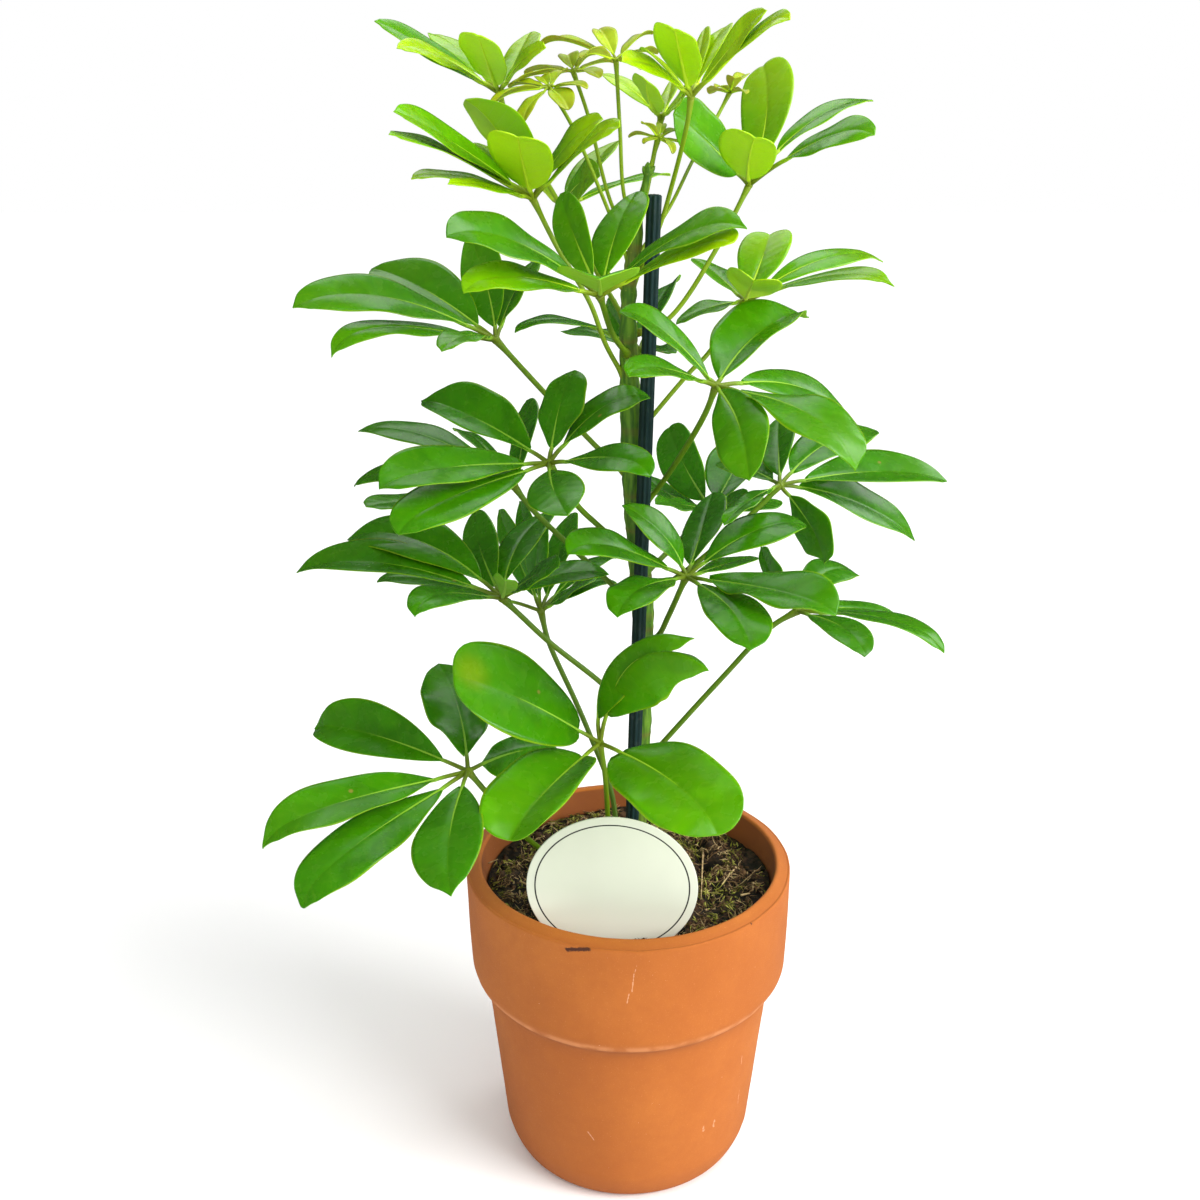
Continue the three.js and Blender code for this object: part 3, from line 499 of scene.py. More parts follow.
# A streak is where the distance to a line is small. The distance is what is left of the way from the
# line's start to a point, once the part of that way along the line is taken off.
reach = vector_maths(streak, "SUBTRACT", entry["End"], entry["Start"])
way = vector_maths(streak, "SUBTRACT", entry["Place"], entry["Start"])
length_squared = plus(streak, vector_maths(streak, "DOT_PRODUCT", reach, reach, output="Value"), 1e-9)
way_along = vector_maths(streak, "DOT_PRODUCT", way, reach, output="Value")
share = node(streak, "ShaderNodeClamp", {"Value": maths(streak, "DIVIDE", way_along, length_squared)})
along_line = node(streak, "ShaderNodeVectorMath", {0: reach, "Scale": share}, operation="SCALE")
distance = vector_maths(streak, "DISTANCE", way, along_line, output="Value")
wobble = swing(streak, noise(streak, entry["Place"], 900.0, 3.0), 4.0)
edge = times(streak, entry["Width"], plus(streak, times(streak, wobble, entry["Ragged"]), 1.0))
streak.links.new(stepped(streak, distance, edge, times(streak, edge, 0.4)), result["Mask"])
print("nodes in the streak group:", len(streak.nodes))

# %% [markdown]
# The floor is a matt pale sheet. It turns dark in reflections for the same reason as the room: the
# undersides of the leaves would mirror it as a white veil.

# %% Floor
floor_finish, tree, shader = new_finish("studio_floor", Roughness=0.85, Specular_IOR_Level=0.0)
pale = mixed(tree, noise(tree, object_place(tree), 6.0), colour(251, 251, 251), colour(253, 253, 253))
in_mirrors = node(tree, "ShaderNodeLightPath", {}, "Is Glossy Ray")
tree.links.new(mixed(tree, in_mirrors, pale, colour(90, 90, 90)), shader["Base Color"])
FLOOR_HALF = 3.0
floor_mesh = bpy.data.meshes.new("studio_floor")
floor_corners = [(x * FLOOR_HALF, y * FLOOR_HALF, 0) for x, y in ((-1, -1), (1, -1), (1, 1), (-1, 1))]
floor_mesh.from_pydata(floor_corners, [], [(0, 1, 2, 3)])
floor_mesh.materials.append(floor_finish)
floor = bpy.data.objects.new("studio_floor", floor_mesh)
bpy.context.scene.collection.objects.link(floor)
print("floor across in m:", 2 * FLOOR_HALF)

# %% [markdown]
# ## The clay pot
#
# A clay pot is pressed in a mould while it turns, so its shape is one section carried round an
# axis. Blender's Spin or Screw could do that, but a grid of section points by angles does the same
# and lets each point move a little: fired clay is never quite round, and its lip is chipped in
# places. The section is a closed loop of straight stretches and quadratic bends, and the wide band
# under the rim overhangs the body with a small round edge.


# %% The pot's section
POT_HIGH = 142.8
BAND_FOOT = 92.0
NECK = 87.0
WALL = 6.5
RIM = 70.0
SHOULDER = 62.8
HEEL = 55.0
HEEL_HIGH = 14.0
FOOT = 46.0
DRAIN = 7.0
POT_FLOOR = 8.0


def line(start, stop, count):
    """Evenly spaced points from start up to, but without, stop."""
    share = np.linspace(0.0, 1.0, count, endpoint=False)[:, None]
    return np.array(start) * (1 - share) + np.array(stop) * share


def arc(centre, radius, start, stop, count):
    """Points on a circle between two angles in degrees, without the last one."""
    angle = np.radians(np.linspace(start, stop, count, endpoint=False))
    return np.array(centre) + radius * np.stack([np.cos(angle), np.sin(angle)], axis=-1)


def bend(start, control, stop, count):
    """A quadratic curve: start, control and stop mixed by (1-t)^2, 2t(1-t) and t^2."""
    share = np.linspace(0.0, 1.0, count, endpoint=False)[:, None]
    points = np.array(start), np.array(control), np.array(stop)
    return points[0] * (1 - share) ** 2 + 2 * points[1] * share * (1 - share) + points[2] * share ** 2


LIP_EDGE = 0.8
INNER_RIM = RIM - WALL
outside = np.concatenate([
    line((DRAIN, 0.0), (FOOT, 0.0), 14),
    bend((FOOT, 0.0), (HEEL - 3.5, 0.0), (HEEL, HEEL_HIGH), 14),
    line((HEEL, HEEL_HIGH), (SHOULDER - 0.4, NECK - 3.5), 52),
    bend((SHOULDER - 0.4, NECK - 3.5), (SHOULDER, NECK), (SHOULDER + 2.4, NECK + 1.8), 7),
    bend((SHOULDER + 2.4, NECK + 1.8), (RIM - 1.9, BAND_FOOT - 1.6), (RIM - 1.2, BAND_FOOT + 3.5), 9),
    line((RIM - 1.2, BAND_FOOT + 3.5), (RIM + 0.1, POT_HIGH - 3.8), 32),
    bend((RIM + 0.1, POT_HIGH - 3.8), (RIM + 0.2, POT_HIGH - 2.4), (RIM - 0.5, POT_HIGH - 2.2), 6),
    bend((RIM - 0.5, POT_HIGH - 2.2), (RIM - 1.0, POT_HIGH - 2.5), (RIM - 1.5, POT_HIGH - 2.0), 6),
    line((RIM - 1.5, POT_HIGH - 2.0), (INNER_RIM + 2.1, POT_HIGH - 0.35), 6),
    bend((INNER_RIM + 2.1, POT_HIGH - 0.35), (INNER_RIM + 0.3, POT_HIGH + 0.5),
         (INNER_RIM, POT_HIGH - 1.5), 10),
])
inside = np.concatenate([
    line((INNER_RIM, POT_HIGH - 1.5), (SHOULDER - WALL, NECK), 24),
    line((SHOULDER - WALL, NECK), (HEEL - WALL, HEEL_HIGH), 14),
    bend((HEEL - WALL, HEEL_HIGH), (HEEL - WALL, POT_FLOOR), (HEEL - WALL - 6.0, POT_FLOOR), 5),
    line((HEEL - WALL - 6.0, POT_FLOOR), (DRAIN, POT_FLOOR), 8),
    line((DRAIN, POT_FLOOR), (DRAIN, 0.0), 4),
])
section = np.concatenate([outside, inside])
WALL_FIRST, WALL_LAST = 28, 122
print("points in the pot's section:", len(section))

# %% Chips and the pot's surface
POT_SIDES = 320
CHIPS = [
    ((567, 949.3), (588, 949.4), 1.2), ((636, 949), (643, 949), 1.0), ((751, 923), (751, 924), 0.6),
    ((741, 916), (741, 916), 0.4), ((690, 943), (691, 943), 0.4), ((498, 914), (499, 914), 0.5),
]
CHIP_DEPTH = 0.3


def on_wall(sight):
    """Where a sight first meets the pot's wall.

    It is the near root of a quadratic for an upright cylinder, whose radius is read again from the
    pot's section at the height that was found, a few times over.
    """
    wall = outside[WALL_FIRST:WALL_LAST]
    ray = sight_line(sight)
    a = ray[0] ** 2 + ray[1] ** 2
    b = ray[0] * EYE[0] + ray[1] * EYE[1]
    radius = RIM
    for _ in range(4):
        c = EYE[0] ** 2 + EYE[1] ** 2 - radius ** 2
        place = EYE + ray * ((-b - math.sqrt(b * b - a * c)) / a)
        radius = np.interp(place[2], wall[:, 1], wall[:, 0])
    return place


angle = np.linspace(0.0, 2 * math.pi, POT_SIDES, endpoint=False)
loop = np.vstack([section, section[:1]])
away = np.stack([np.cos(angle), np.sin(angle), np.zeros(POT_SIDES)], axis=-1)
pot = loop[:, None, :1] * away[None] + np.array([0.0, 0.0, 1.0]) * loop[:, None, 1:]
firm = smooth_step(pot[..., 2], 0.5, 10.0)
swell = 0.28 * waves(pot, 90.0, 11) + 0.1 * waves(pot, 22.0, 12) + 0.05 * lumps(pot, 3.0, 13)
pot += away[None] * (swell * firm)[..., None]
for start, stop, size in CHIPS:
    start, stop = on_wall(start), on_wall(stop)
    reach = stop - start
    share = np.clip((pot - start) @ reach / max(reach @ reach, 1e-9), 0.0, 1.0)
    near = np.exp(-np.sum((pot - start - share[..., None] * reach) ** 2, axis=-1) / size ** 2)
    pot -= (away[None] * 0.6 + np.array([0.0, 0.0, 0.8])) * (CHIP_DEPTH * near)[..., None]
pot[-1] = pot[0]
inner = np.broadcast_to((np.arange(len(loop)) >= len(outside))[:, None], pot.shape[:2])
print("pot's widest place in mm:", round(float(pot[..., 0].max() - pot[..., 0].min()), 1))

# %% [markdown]
# The clay is a warm orange with a fine sandy grain. It is redder where the fire was hotter. A pale
# line along the band's lower edge is a painted highlight, and painted shade darkens the clay just
# under that edge, towards the foot and along the groove round the lip. It carries a few pale
# scratches, where lime came through or something scraped it.
# Inside, the wall is darker from damp peat. Chips at the lip are dark with soil.


# %% Terracotta
terracotta, tree, shader = new_finish("terracotta_clay", Roughness=0.86)
here = object_place(tree)
damp, _, _ = carried(tree)
level = part(tree, here, "Z")
cloud = stepped(tree, noise(tree, here, 14.0, 4.0, 0.55), 0.3, 0.72)
clay = mixed(tree, cloud, colour(172, 94, 32), colour(186, 107, 40))
clay = tinted(tree, clay, clouds(tree, here, 260.0), 0.2, colour(162, 84, 32))
sand = noise(tree, here, 1900.0, 2.0, 0.7)
clay = mixed(tree, stepped(tree, sand, 0.6, 0.78, 0.0, 0.35), clay, colour(226, 156, 96))
clay = mixed(tree, stepped(tree, sand, 0.36, 0.24, 0.0, 0.35), clay, colour(150, 76, 34))
# Painted shade: the clay turns darker towards the foot.
clay = mixed(tree, stepped(tree, level, 0.06, 0.0, 0.0, 0.35), clay, colour(158, 84, 32))
# Painted shade: a darker band on the body just under the band's overhanging lower edge.
painted_shade_under_band = window(tree, level, (0.078, 0.088), (0.0905, 0.089))
clay = tinted(tree, clay, painted_shade_under_band, 0.35, colour(150, 78, 30))
# Painted highlight: a pale line along the band's lower edge, broken up by noise.
painted_highlight_band_edge = window(tree, level, (0.0895, 0.0908), (0.0945, 0.092))
painted_highlight_band_edge = times(tree, painted_highlight_band_edge, stepped(tree, noise(tree, here, 120.0), 0.35, 0.6, 0.1, 0.5))
clay = mixed(tree, painted_highlight_band_edge, clay, colour(222, 150, 96))
# Painted shade: a darker, more even band along the groove round the lip, broken up by noise.
lip = [(POT_HIGH - below) * MM for below in (3.4, 2.5, 0.9, 1.9)]
painted_shade_lip_groove = window(tree, level, lip[:2], lip[2:])
painted_shade_lip_groove = times(tree, painted_shade_lip_groove, stepped(tree, noise(tree, here, 45.0), 0.25, 0.7, 0.15, 0.75))
clay = mixed(tree, painted_shade_lip_groove, clay, colour(172, 94, 36))
damp = times(tree, damp, stepped(tree, noise(tree, here, 60.0), 0.2, 0.9, 0.55, 1.0))
clay = mixed(tree, damp, clay, colour(140, 78, 40))
SCRATCHES = [
    ((714, 1120), (713, 1126), 0.585), ((703, 1127), (703, 1130), 0.715), ((739, 1090), (737, 1108), 0.2925),
    ((742, 1056), (741, 1064), 0.325), ((640, 953), (635, 972), 0.2275), ((634, 974), (632, 992), 0.2925),
    ((629, 994), (627, 1003), 0.325), ((588, 1132), (594, 1140), 0.325), ((640, 1078), (646, 1080), 0.2275),
]


def marked(tree, place, clay, marks, ragged, strength, tint):
    """The clay with marks of a tint: streaks of a width in mm between pairs of sights on the wall."""
    for start, stop, width in marks:
        ends = [tuple(on_wall(sight) * MM) for sight in (start, stop)]
        inputs = {"Place": place, "Start": ends[0], "End": ends[1], "Width": width * MM, "Ragged": ragged}
        clay = tinted(tree, clay, grouped(tree, streak, inputs), strength, tint)
    return clay


clay = marked(tree, here, clay, SCRATCHES, 0.9, 0.38, colour(240, 196, 160))
clay = marked(tree, here, clay, CHIPS, 0.5, 0.95, colour(70, 36, 26))
tree.links.new(clay, shader["Base Color"])
grained(tree, shader, here, 700.0, 3200.0, 0.00018, 0.7)

pot_faces = grid_faces(len(loop), POT_SIDES, round_columns=True)
pot_faces %= len(section) * POT_SIDES
pot_patch = patch(pot[:-1], [pot_faces], kind=(inner[:-1], 0.0, 0.0))
make_piece("pot_clay", [pot_patch], [terracotta], "pot")

# %% [markdown]
# ## Rods
#
# The stake, the stem and the leaf stalks are all rods along a line: rings of points carried along
# a path, each square to it. A curve with a bevel would also do, but rings let the radius change
# freely, for ribs, leaf scars and swollen joints.


# %% Rods along a path
STRETCH_POINTS = 24


def frames_along(path):
    """For each point of a path: two directions square to the way ahead and to each other.

    The first is a fixed direction, chosen across the whole path, less its part along the way ahead.
    """
    ahead = unit(np.gradient(path, axis=0))
    mean = unit(path[-1] - path[0])
    choices = np.eye(3)
    fixed = choices[np.argmin(np.abs(choices @ mean))]
    across = unit(fixed - ahead * (ahead @ fixed)[:, None])
    return across, np.cross(ahead, across)


def rod(path, radii, sides, profile=None, **marks):
    """A closed rod: rings round a path whose radii may change along it and round it, with poles."""
    across, up = frames_along(path)
    turn = np.linspace(0.0, 2 * math.pi, sides, endpoint=False)
    reach = np.asarray(radii, float).reshape(len(path), -1) * np.ones(sides)
    if profile is not None:
        reach = reach + profile(turn)
    ring = across[:, None] * np.cos(turn)[:, None] + up[:, None] * np.sin(turn)[:, None]
    share = np.linspace(0.0, 1.0, len(path))
    along = np.concatenate([np.repeat(share, sides), [0.0, 1.0]])
    around = np.concatenate([np.tile(turn / (2 * math.pi), len(path)), [0.5, 0.5]])
    rings = path[:, None] + ring * reach[..., None]
    return closed_rings(rings, path[[0, -1]], across=around, along=along, **marks)


def travelled_along(path):
    """The way travelled along a path up to each of its points."""
    return np.concatenate([[0.0], np.cumsum(np.linalg.norm(np.diff(path, axis=0), axis=-1))])


def smooth_path(points, count):
    """A curve through points, evenly spaced along its length.

    Each stretch is a Catmull-Rom curve whose knots are spaced by the roots of the distances, so it
    doesn't overshoot where points lie close together.
    """
    points = np.asarray(points, float)
    padded = np.vstack([2 * points[0] - points[1], points, 2 * points[-1] - points[-2]])
    share = np.linspace(0.0, 1.0, STRETCH_POINTS, endpoint=False)[:, None]
    stretches = []
    for a, b, c, d in zip(padded, padded[1:], padded[2:], padded[3:]):
        gap = [max(float(np.linalg.norm(q - p)) ** 0.5, 1e-4) for p, q in ((a, b), (b, c), (c, d))]
        leave = ((b - a) / gap[0] - (c - a) / (gap[0] + gap[1]) + (c - b) / gap[1]) * gap[1]
        enter = ((c - b) / gap[1] - (d - b) / (gap[1] + gap[2]) + (d - c) / gap[2]) * gap[1]
        square, cube = share ** 2, share ** 3
        ends = 3 * (c - b) - 2 * leave - enter, 2 * (b - c) + leave + enter
        stretches.append(b + leave * share + ends[0] * square + ends[1] * cube)
    dense = np.vstack([*stretches, points[-1:]])
    travelled = travelled_along(dense)
    even = np.linspace(0.0, travelled[-1], count)
    return np.stack([np.interp(even, travelled, dense[:, axis]) for axis in range(3)], axis=-1)


sample = smooth_path([(0, 0, 0), (5, 1, 9), (6, 4, 20)], 30)
print("points of a smooth path:", sample[::10].round(1).tolist())

# %% [markdown]
# ## The peat
#
# Potting peat is a bed of crumbs and fibres. One displaced surface alone looks like mud, because it
# has no overhangs and no single pieces. So the bed is a closed lumpy surface, and loose crumbs and
# fibres lie on it as small meshes of a few faces each, all in the same piece. They are placed by a
# seeded draw and stay on the height of the bed. A few pale straws lie where the picture shows them.


# %% The bed
SOIL_TOP = 132.0
SOIL_SWELL = 2.2
SOIL_SIDE = 0.5
BED_ROWS = 104
BED_SIDES = 230
HOLLOWS = [
    ((30, 37), 3.5, 3.5), ((31, 27), 3.5, 4.5), ((33, 16), 3.0, 4.0), ((34, 6), 3.0, 3.0),
    ((-8, -53), 15.0, 5.2),
]


def wall_radius(height):
    """The radius of the pot's inside, which widens evenly from the neck to the lip."""
    share = (height - NECK) / (POT_HIGH - LIP_EDGE - NECK)
    return SHOULDER - WALL + share * (RIM - SHOULDER)


BED_EDGE = wall_radius(SOIL_TOP - SOIL_SWELL) - SOIL_SIDE


def bed_relief(x, y):
    """The small relief of the bed: clods, crumbs, and hollows as bells turned down."""
    flat = np.stack([x, y, np.zeros_like(x)], axis=-1)
    clods = 1.7 * lumps(flat, 9.0, 21) + 1.1 * lumps(flat, 4.2, 22)
    crumbs = 0.9 * np.abs(lumps(flat, 2.1, 23)) + 0.35 * lumps(flat, 1.0, 24)
    for (middle_x, middle_y), size, depth in HOLLOWS:
        clods -= depth * np.exp(-((x - middle_x) ** 2 + (y - middle_y) ** 2) / size ** 2)
    return clods + crumbs


def bed_height(x, y):
    """The bed's height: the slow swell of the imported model, then its relief and a hollow rim."""
    radius = np.hypot(x, y)
    turn = np.arctan2(y, x)
    slow = np.sin(3 * turn + radius * 0.15) + np.sin(5 * turn - radius * 0.31 + 1)
    rim = (radius / BED_EDGE) ** 6
    return SOIL_TOP + 0.4 * SOIL_SWELL * slow - 1.0 * rim + bed_relief(x, y) * (1 - 0.6 * rim)


inset = WALL + SOIL_SIDE
bed_foot = POT_FLOOR + 0.3
shell = np.array([
    (1.0, bed_foot), (HEEL - inset - 5, bed_foot), (HEEL - inset, HEEL_HIGH), (SHOULDER - inset, NECK),
])
bed_radius = np.concatenate([shell[:, 0], BED_EDGE * np.linspace(1.0, 0.01, BED_ROWS)])
bed_turn = np.linspace(0.0, 2 * math.pi, BED_SIDES, endpoint=False)
bed_x, bed_y = bed_radius[:, None] * np.cos(bed_turn), bed_radius[:, None] * np.sin(bed_turn)
bed = np.stack([bed_x, bed_y, bed_height(bed_x, bed_y)], axis=-1)
bed[:len(shell), :, 2] = shell[:, 1:]
poles = [[0.0, 0.0, bed_foot], [0.0, 0.0, float(bed_height(np.zeros(1), np.zeros(1))[0])]]
# Painted shade: the bed's tone follows its relief, so it is painted darker in its hollows.
bed_tone_and_shade = np.concatenate([0.06 + 0.07 * bed_relief(bed_x, bed_y).ravel(), [0.1, 0.1]])
bed_patch = closed_rings(bed, poles, kind=(bed_tone_and_shade, 0.0, 0.0))
bed_top = bed[len(shell):, :, 2]
print("bed's height in mm:", bed_top.min().round(1), "to", bed_top.max().round(1))


# %% Crumbs and fibres
CRUMB_SIZES, CRUMB_SHARES = [1.3, 1.9, 2.6], [0.6, 0.3, 0.1]


def random_place(draw, count, reach):
    """Places spread evenly over a disc: the radius is the root of an even draw."""
    radius = reach * np.sqrt(draw.uniform(0.0, 1.0, count))
    turn = draw.uniform(0.0, 2 * math.pi, count)
    return radius * np.cos(turn), radius * np.sin(turn)


def ball(rows=4, sides=6):
    """A coarse closed ball for crumbs: rings whose radii are sines of the way down from a pole."""
    down = np.linspace(0, math.pi, rows + 2)[1:-1][:, None]
    turn = np.linspace(0, 2 * math.pi, sides, endpoint=False)
    x, y = np.sin(down) * np.cos(turn), np.sin(down) * np.sin(turn)
    return closed_rings(np.stack([x, y, 0 * x - np.cos(down)], axis=-1), [[0, 0, -1.0], [0, 0, 1.0]])


def scattered(draw, count):
    """Crumbs on the bed: the ball, made lumpy and squashed along three random axes, many times."""
    crumb = ball()
    points = crumb["points"]
    x, y = random_place(draw, count, BED_EDGE - 2.0)
    size = draw.uniform(0.5, 1.0, count) ** 2 * draw.choice(CRUMB_SIZES, count, p=CRUMB_SHARES)
    squash = draw.uniform(0.5, 1.1, (count, 1, 3))
    turned, _ = np.linalg.qr(draw.normal(size=(count, 3, 3)))
    turned = turned * np.sign(np.linalg.det(turned))[:, None, None]
    lumpy = points[None] * (1 + draw.uniform(-0.25, 0.25, (count, len(points), 1))) * squash
    crumbs = np.einsum("nij,nkj->nki", turned, lumpy) * size[:, None, None]
    crumbs += np.stack([x, y, bed_height(x, y) + size * 0.25], axis=-1)[:, None, :]
    shift = (np.arange(count) * len(points))[:, None, None]
    tone = np.repeat(draw.uniform(0.0, 0.6, count) ** 1.5, len(points))
    faces = [(group[None] + shift).reshape(-1, group.shape[1]) for group in crumb["faces"]]
    return patch(crumbs, faces, kind=(tone, 0.0, 0.0))


def fibres(draw, bunches, each, spread, longest, thick, tones, mossy, steps, rise):
    """Bunches of fibres: thin three-sided strands whose middle line bends as an arc over the bed.

    The strands of a bunch lie near one place and one heading, and share one draw for moss or bark.
    Rise is how steeply a strand may stand up from the bed.
    """
    sides = 3
    count = bunches * each
    places = random_place(draw, bunches, BED_EDGE - 2.5)
    x, y = (np.repeat(value, each) + draw.normal(0, spread, count) for value in places)
    heading = np.repeat(draw.uniform(0, 2 * math.pi, bunches), each) + draw.normal(0, 0.8, count)
    bending = draw.normal(0, 1.4, count)
    length = longest * draw.uniform(0.25, 1.0, count)
    share = np.linspace(0.0, 1.0, steps)[None, :]
    direction = heading[:, None] + bending[:, None] * (share - 0.5)
    along = np.stack([np.cos(direction), np.sin(direction)], axis=-1)
    path = np.cumsum(along * (length / (steps - 1))[:, None, None], axis=1)
    path = path - path.mean(axis=1, keepdims=True) + np.stack([x, y], axis=-1)[:, None, :]
    reach = np.linalg.norm(path, axis=-1, keepdims=True)
    path *= np.minimum(1.0, (BED_EDGE - 1.0) / np.maximum(reach, 1e-6))
    lift = draw.uniform(0.0, 0.8, (count, 1)) + draw.uniform(-0.1, rise, (count, 1)) * length[:, None] * share
    height = bed_height(path[..., 0], path[..., 1]) + lift
    centre = np.concatenate([path, height[..., None]], axis=-1)
    turn = np.arange(sides) * 2 * math.pi / sides
    width = thick * draw.uniform(0.6, 1.3, (count, 1)) * (1 - 0.75 * np.abs(2 * share - 1) ** 3)
    across = np.stack([-along[..., 1], along[..., 0], np.zeros_like(along[..., 0])], axis=-1)
    up = np.array([0.0, 0.0, 0.6])
    ring = (across[:, :, None] * np.cos(turn)[:, None] + up * np.sin(turn)[:, None]) * width[:, :, None, None]
    points = centre[:, :, None] + ring
    shift = (np.arange(count) * steps * sides)[:, None, None]
    sides_faces = (grid_faces(steps, sides, round_columns=True)[None] + shift).reshape(-1, 4)
    last = (steps - 1) * sides
    ends = np.array([[2, 1, 0], [last, last + 1, last + 2]])
    tone = np.repeat(draw.uniform(*tones, count), steps * sides)
    moss = np.repeat(draw.uniform(0.0, 1.0, bunches) < mossy, each * steps * sides)
    return patch(points, [sides_faces, (ends[None] + shift).reshape(-1, 3)], kind=(tone, moss, 0.0))


def strand(start, stop, thick, tone):
    """A straw between two sights of the bed, which sags in the middle and lies on the crumbs."""
    lines = [sight_line(sight) for sight in (start, stop)]
    ends = [EYE + line * (SOIL_TOP + 2.0 - EYE[2]) / line[2] for line in lines]
    share = np.linspace(0.0, 1.0, 10)[:, None]
    path = ends[0] * (1 - share) + ends[1] * share
    path[:, 2] = np.maximum(path[:, 2] - 0.6, bed_height(path[:, 0], path[:, 1]) + 0.3)
    return rod(path, thick * (1 - 0.5 * share[:, 0]), 5, kind=(tone, 0.0, 0.0))


CRUMBS = 900
# Bunches, strands in a bunch, their spread, length and thickness, tones, share of moss, steps, rise.
FIBRES = [
    (330, 9, 1.5, 6.5, 0.27, (0.2, 1.0), 0.3, 3, 0.5),
    (330, 8, 1.6, 3.2, 0.44, (0.2, 1.15), 0.5, 3, 0.8),
    (150, 1, 0.0, 14.0, 0.26, (0.5, 1.0), 0.0, 7, 0.1),
    (26, 1, 0.0, 24.0, 0.34, (0.8, 1.1), 0.0, 8, 0.1),
]
# A straw's two sights, its thickness and its tone.
STRAWS = [
    ((703, 851), (701, 899), 0.4, 0.9), ((736, 866), (722, 883), 0.45, 1.1),
    ((741, 894), (750, 892), 0.6, 1.1), ((478, 866), (498, 858), 0.4, 0.8),
    ((520, 880), (541, 889), 0.45, 0.9), ((688, 905), (668, 912), 0.35, 0.8),
]
draw = np.random.default_rng(31)
litter = [scattered(draw, CRUMBS)]
litter += [fibres(draw, *sort) for sort in FIBRES]
litter += [strand(*straw) for straw in STRAWS]
print("crumbs and fibres:", sum(len(each["points"]) for each in litter), "points")

# %% [markdown]
# Peat is nearly black where it is damp, and its dry crumbs are brown. Painted shade makes the bed
# darker still in its hollows, since its tone follows its relief. Its fibres run from brown to straw.
# One number that each crumb and fibre carries picks the place on that scale, and fine noise breaks
# it up.

# %% Peat
peat, tree, shader = new_finish("damp_peat", Roughness=0.92)
here = object_place(tree)
tone, mossy, _ = carried(tree)
tone = plus(tree, tone, swing(tree, clouds(tree, here, 500.0), 0.3))
earth = mixed(tree, stepped(tree, tone, 0.0, 0.35), colour(17, 12, 9), colour(78, 55, 35))
earth = mixed(tree, stepped(tree, tone, 0.35, 0.7), earth, colour(138, 106, 70))
earth = mixed(tree, stepped(tree, tone, 0.7, 1.0), earth, colour(212, 184, 134))
moss = mixed(tree, stepped(tree, tone, 0.1, 0.6), colour(38, 38, 8), colour(118, 118, 34))
moss = mixed(tree, stepped(tree, tone, 0.6, 1.1), moss, colour(200, 198, 96))
tree.links.new(mixed(tree, mossy, earth, moss), shader["Base Color"])
grained(tree, shader, here, 900.0, 3000.0, 0.0005, 0.8)
make_piece("peat_bed", [bed_patch, *litter], [peat], "soil")

# %% [markdown]
# ## The support stake
#
# The stake is drawn green plastic with eight soft ribs, about 5 mm thick. It stands behind the label
# card and leans a little to the right, just in front of the stem. Its head is cut off square with a
# tiny bevel, and it is dusty near the soil.

# %% Stake
STAKE_RADIUS = 2.5
STAKE_RIB = 0.35
STAKE_RIBS = 8
STAKE_BEVEL = 0.5
stake_foot = np.array([-1.1, -3.6, 60.0])
stake_head = np.array([7.6, -3.6, 424.0])
bevel_share = STAKE_BEVEL / (stake_head[2] - stake_foot[2])
share = np.concatenate([np.linspace(0.0, 1.0 - bevel_share, 60), [1.0]])[:, None]
stake_path = stake_foot * (1 - share) + stake_head * share
stake_radii = STAKE_RADIUS + 0.04 * waves(stake_path, 60.0, 41)
stake_radii[-1] -= STAKE_BEVEL
stake_rod = rod(stake_path, stake_radii, 64, lambda turn: STAKE_RIB * np.cos(STAKE_RIBS * turn))

stake_finish, tree, shader = new_finish("green_stake", Roughness=0.5, Specular_IOR_Level=0.35)
here = object_place(tree)
green = mixed(tree, noise(tree, here, 90.0, 4.0), colour(13, 37, 38), colour(26, 54, 53))
dust = stepped(tree, noise(tree, here, 260.0, 4.0, 0.65), 0.5, 0.75, 0.0, 0.4)
dust = times(tree, dust, stepped(tree, part(tree, here, "Z"), 0.30, 0.13, 0.25, 1.0))
green = mixed(tree, dust, green, colour(96, 100, 84))
tree.links.new(green, shader["Base Color"])
grained(tree, shader, stretched(tree, here, (1.0, 1.0, 0.04)), 900.0, 4000.0, 0.0001, 0.6)
make_piece("support_stake", [stake_rod], [stake_finish], "stake")

# %% [markdown]
# ## The label card
#
# The card is a flat oval of off-white plastic on a tapering pick that goes into the peat, with a
# thin dark ring printed just inside its edge. Its face is bare otherwise, but its lower half is
# painted lighter towards the bottom edge: painted light against the shade of the pot's front wall.
# It is worked out as rings of an oval: shrinking ovals fill the face, and the outermost ones follow a
# small round edge.

# %% Card
CARD_HALF = np.array([35.0, 30.0])
CARD_THICK = 0.8
CARD_LEAN = math.radians(10)
CARD_ROLL = math.radians(5)
CARD_CENTRE = np.array([-7.4, -43.6, 153.6])
PICK_WIDE, PICK_TIP, PICK_LONG, PICK_LAP = 8.0, 2.0, 26.0, 3.0
PICK_THIN, PICK_SQUARE = 0.7, 0.4
CARD_SIDES = 160
# The card's own place is in shares of this many mm, and is 0.5 at its middle.
PLACE_SPAN = 100
card_up = np.array([0.0, math.sin(CARD_LEAN), math.cos(CARD_LEAN)])
card_across = RIGHT * math.cos(CARD_ROLL) - card_up * math.sin(CARD_ROLL)
card_up = RIGHT * math.sin(CARD_ROLL) + card_up * math.cos(CARD_ROLL)
card_front = np.array([0.0, -math.cos(CARD_LEAN), math.sin(CARD_LEAN)])


def on_card(flat, height):
    """A place in the card's own plane and its height in front of it, as a place in space."""
    in_plane = flat[..., :1] * card_across + flat[..., 1:] * card_up
    return CARD_CENTRE + in_plane + height[..., None] * card_front


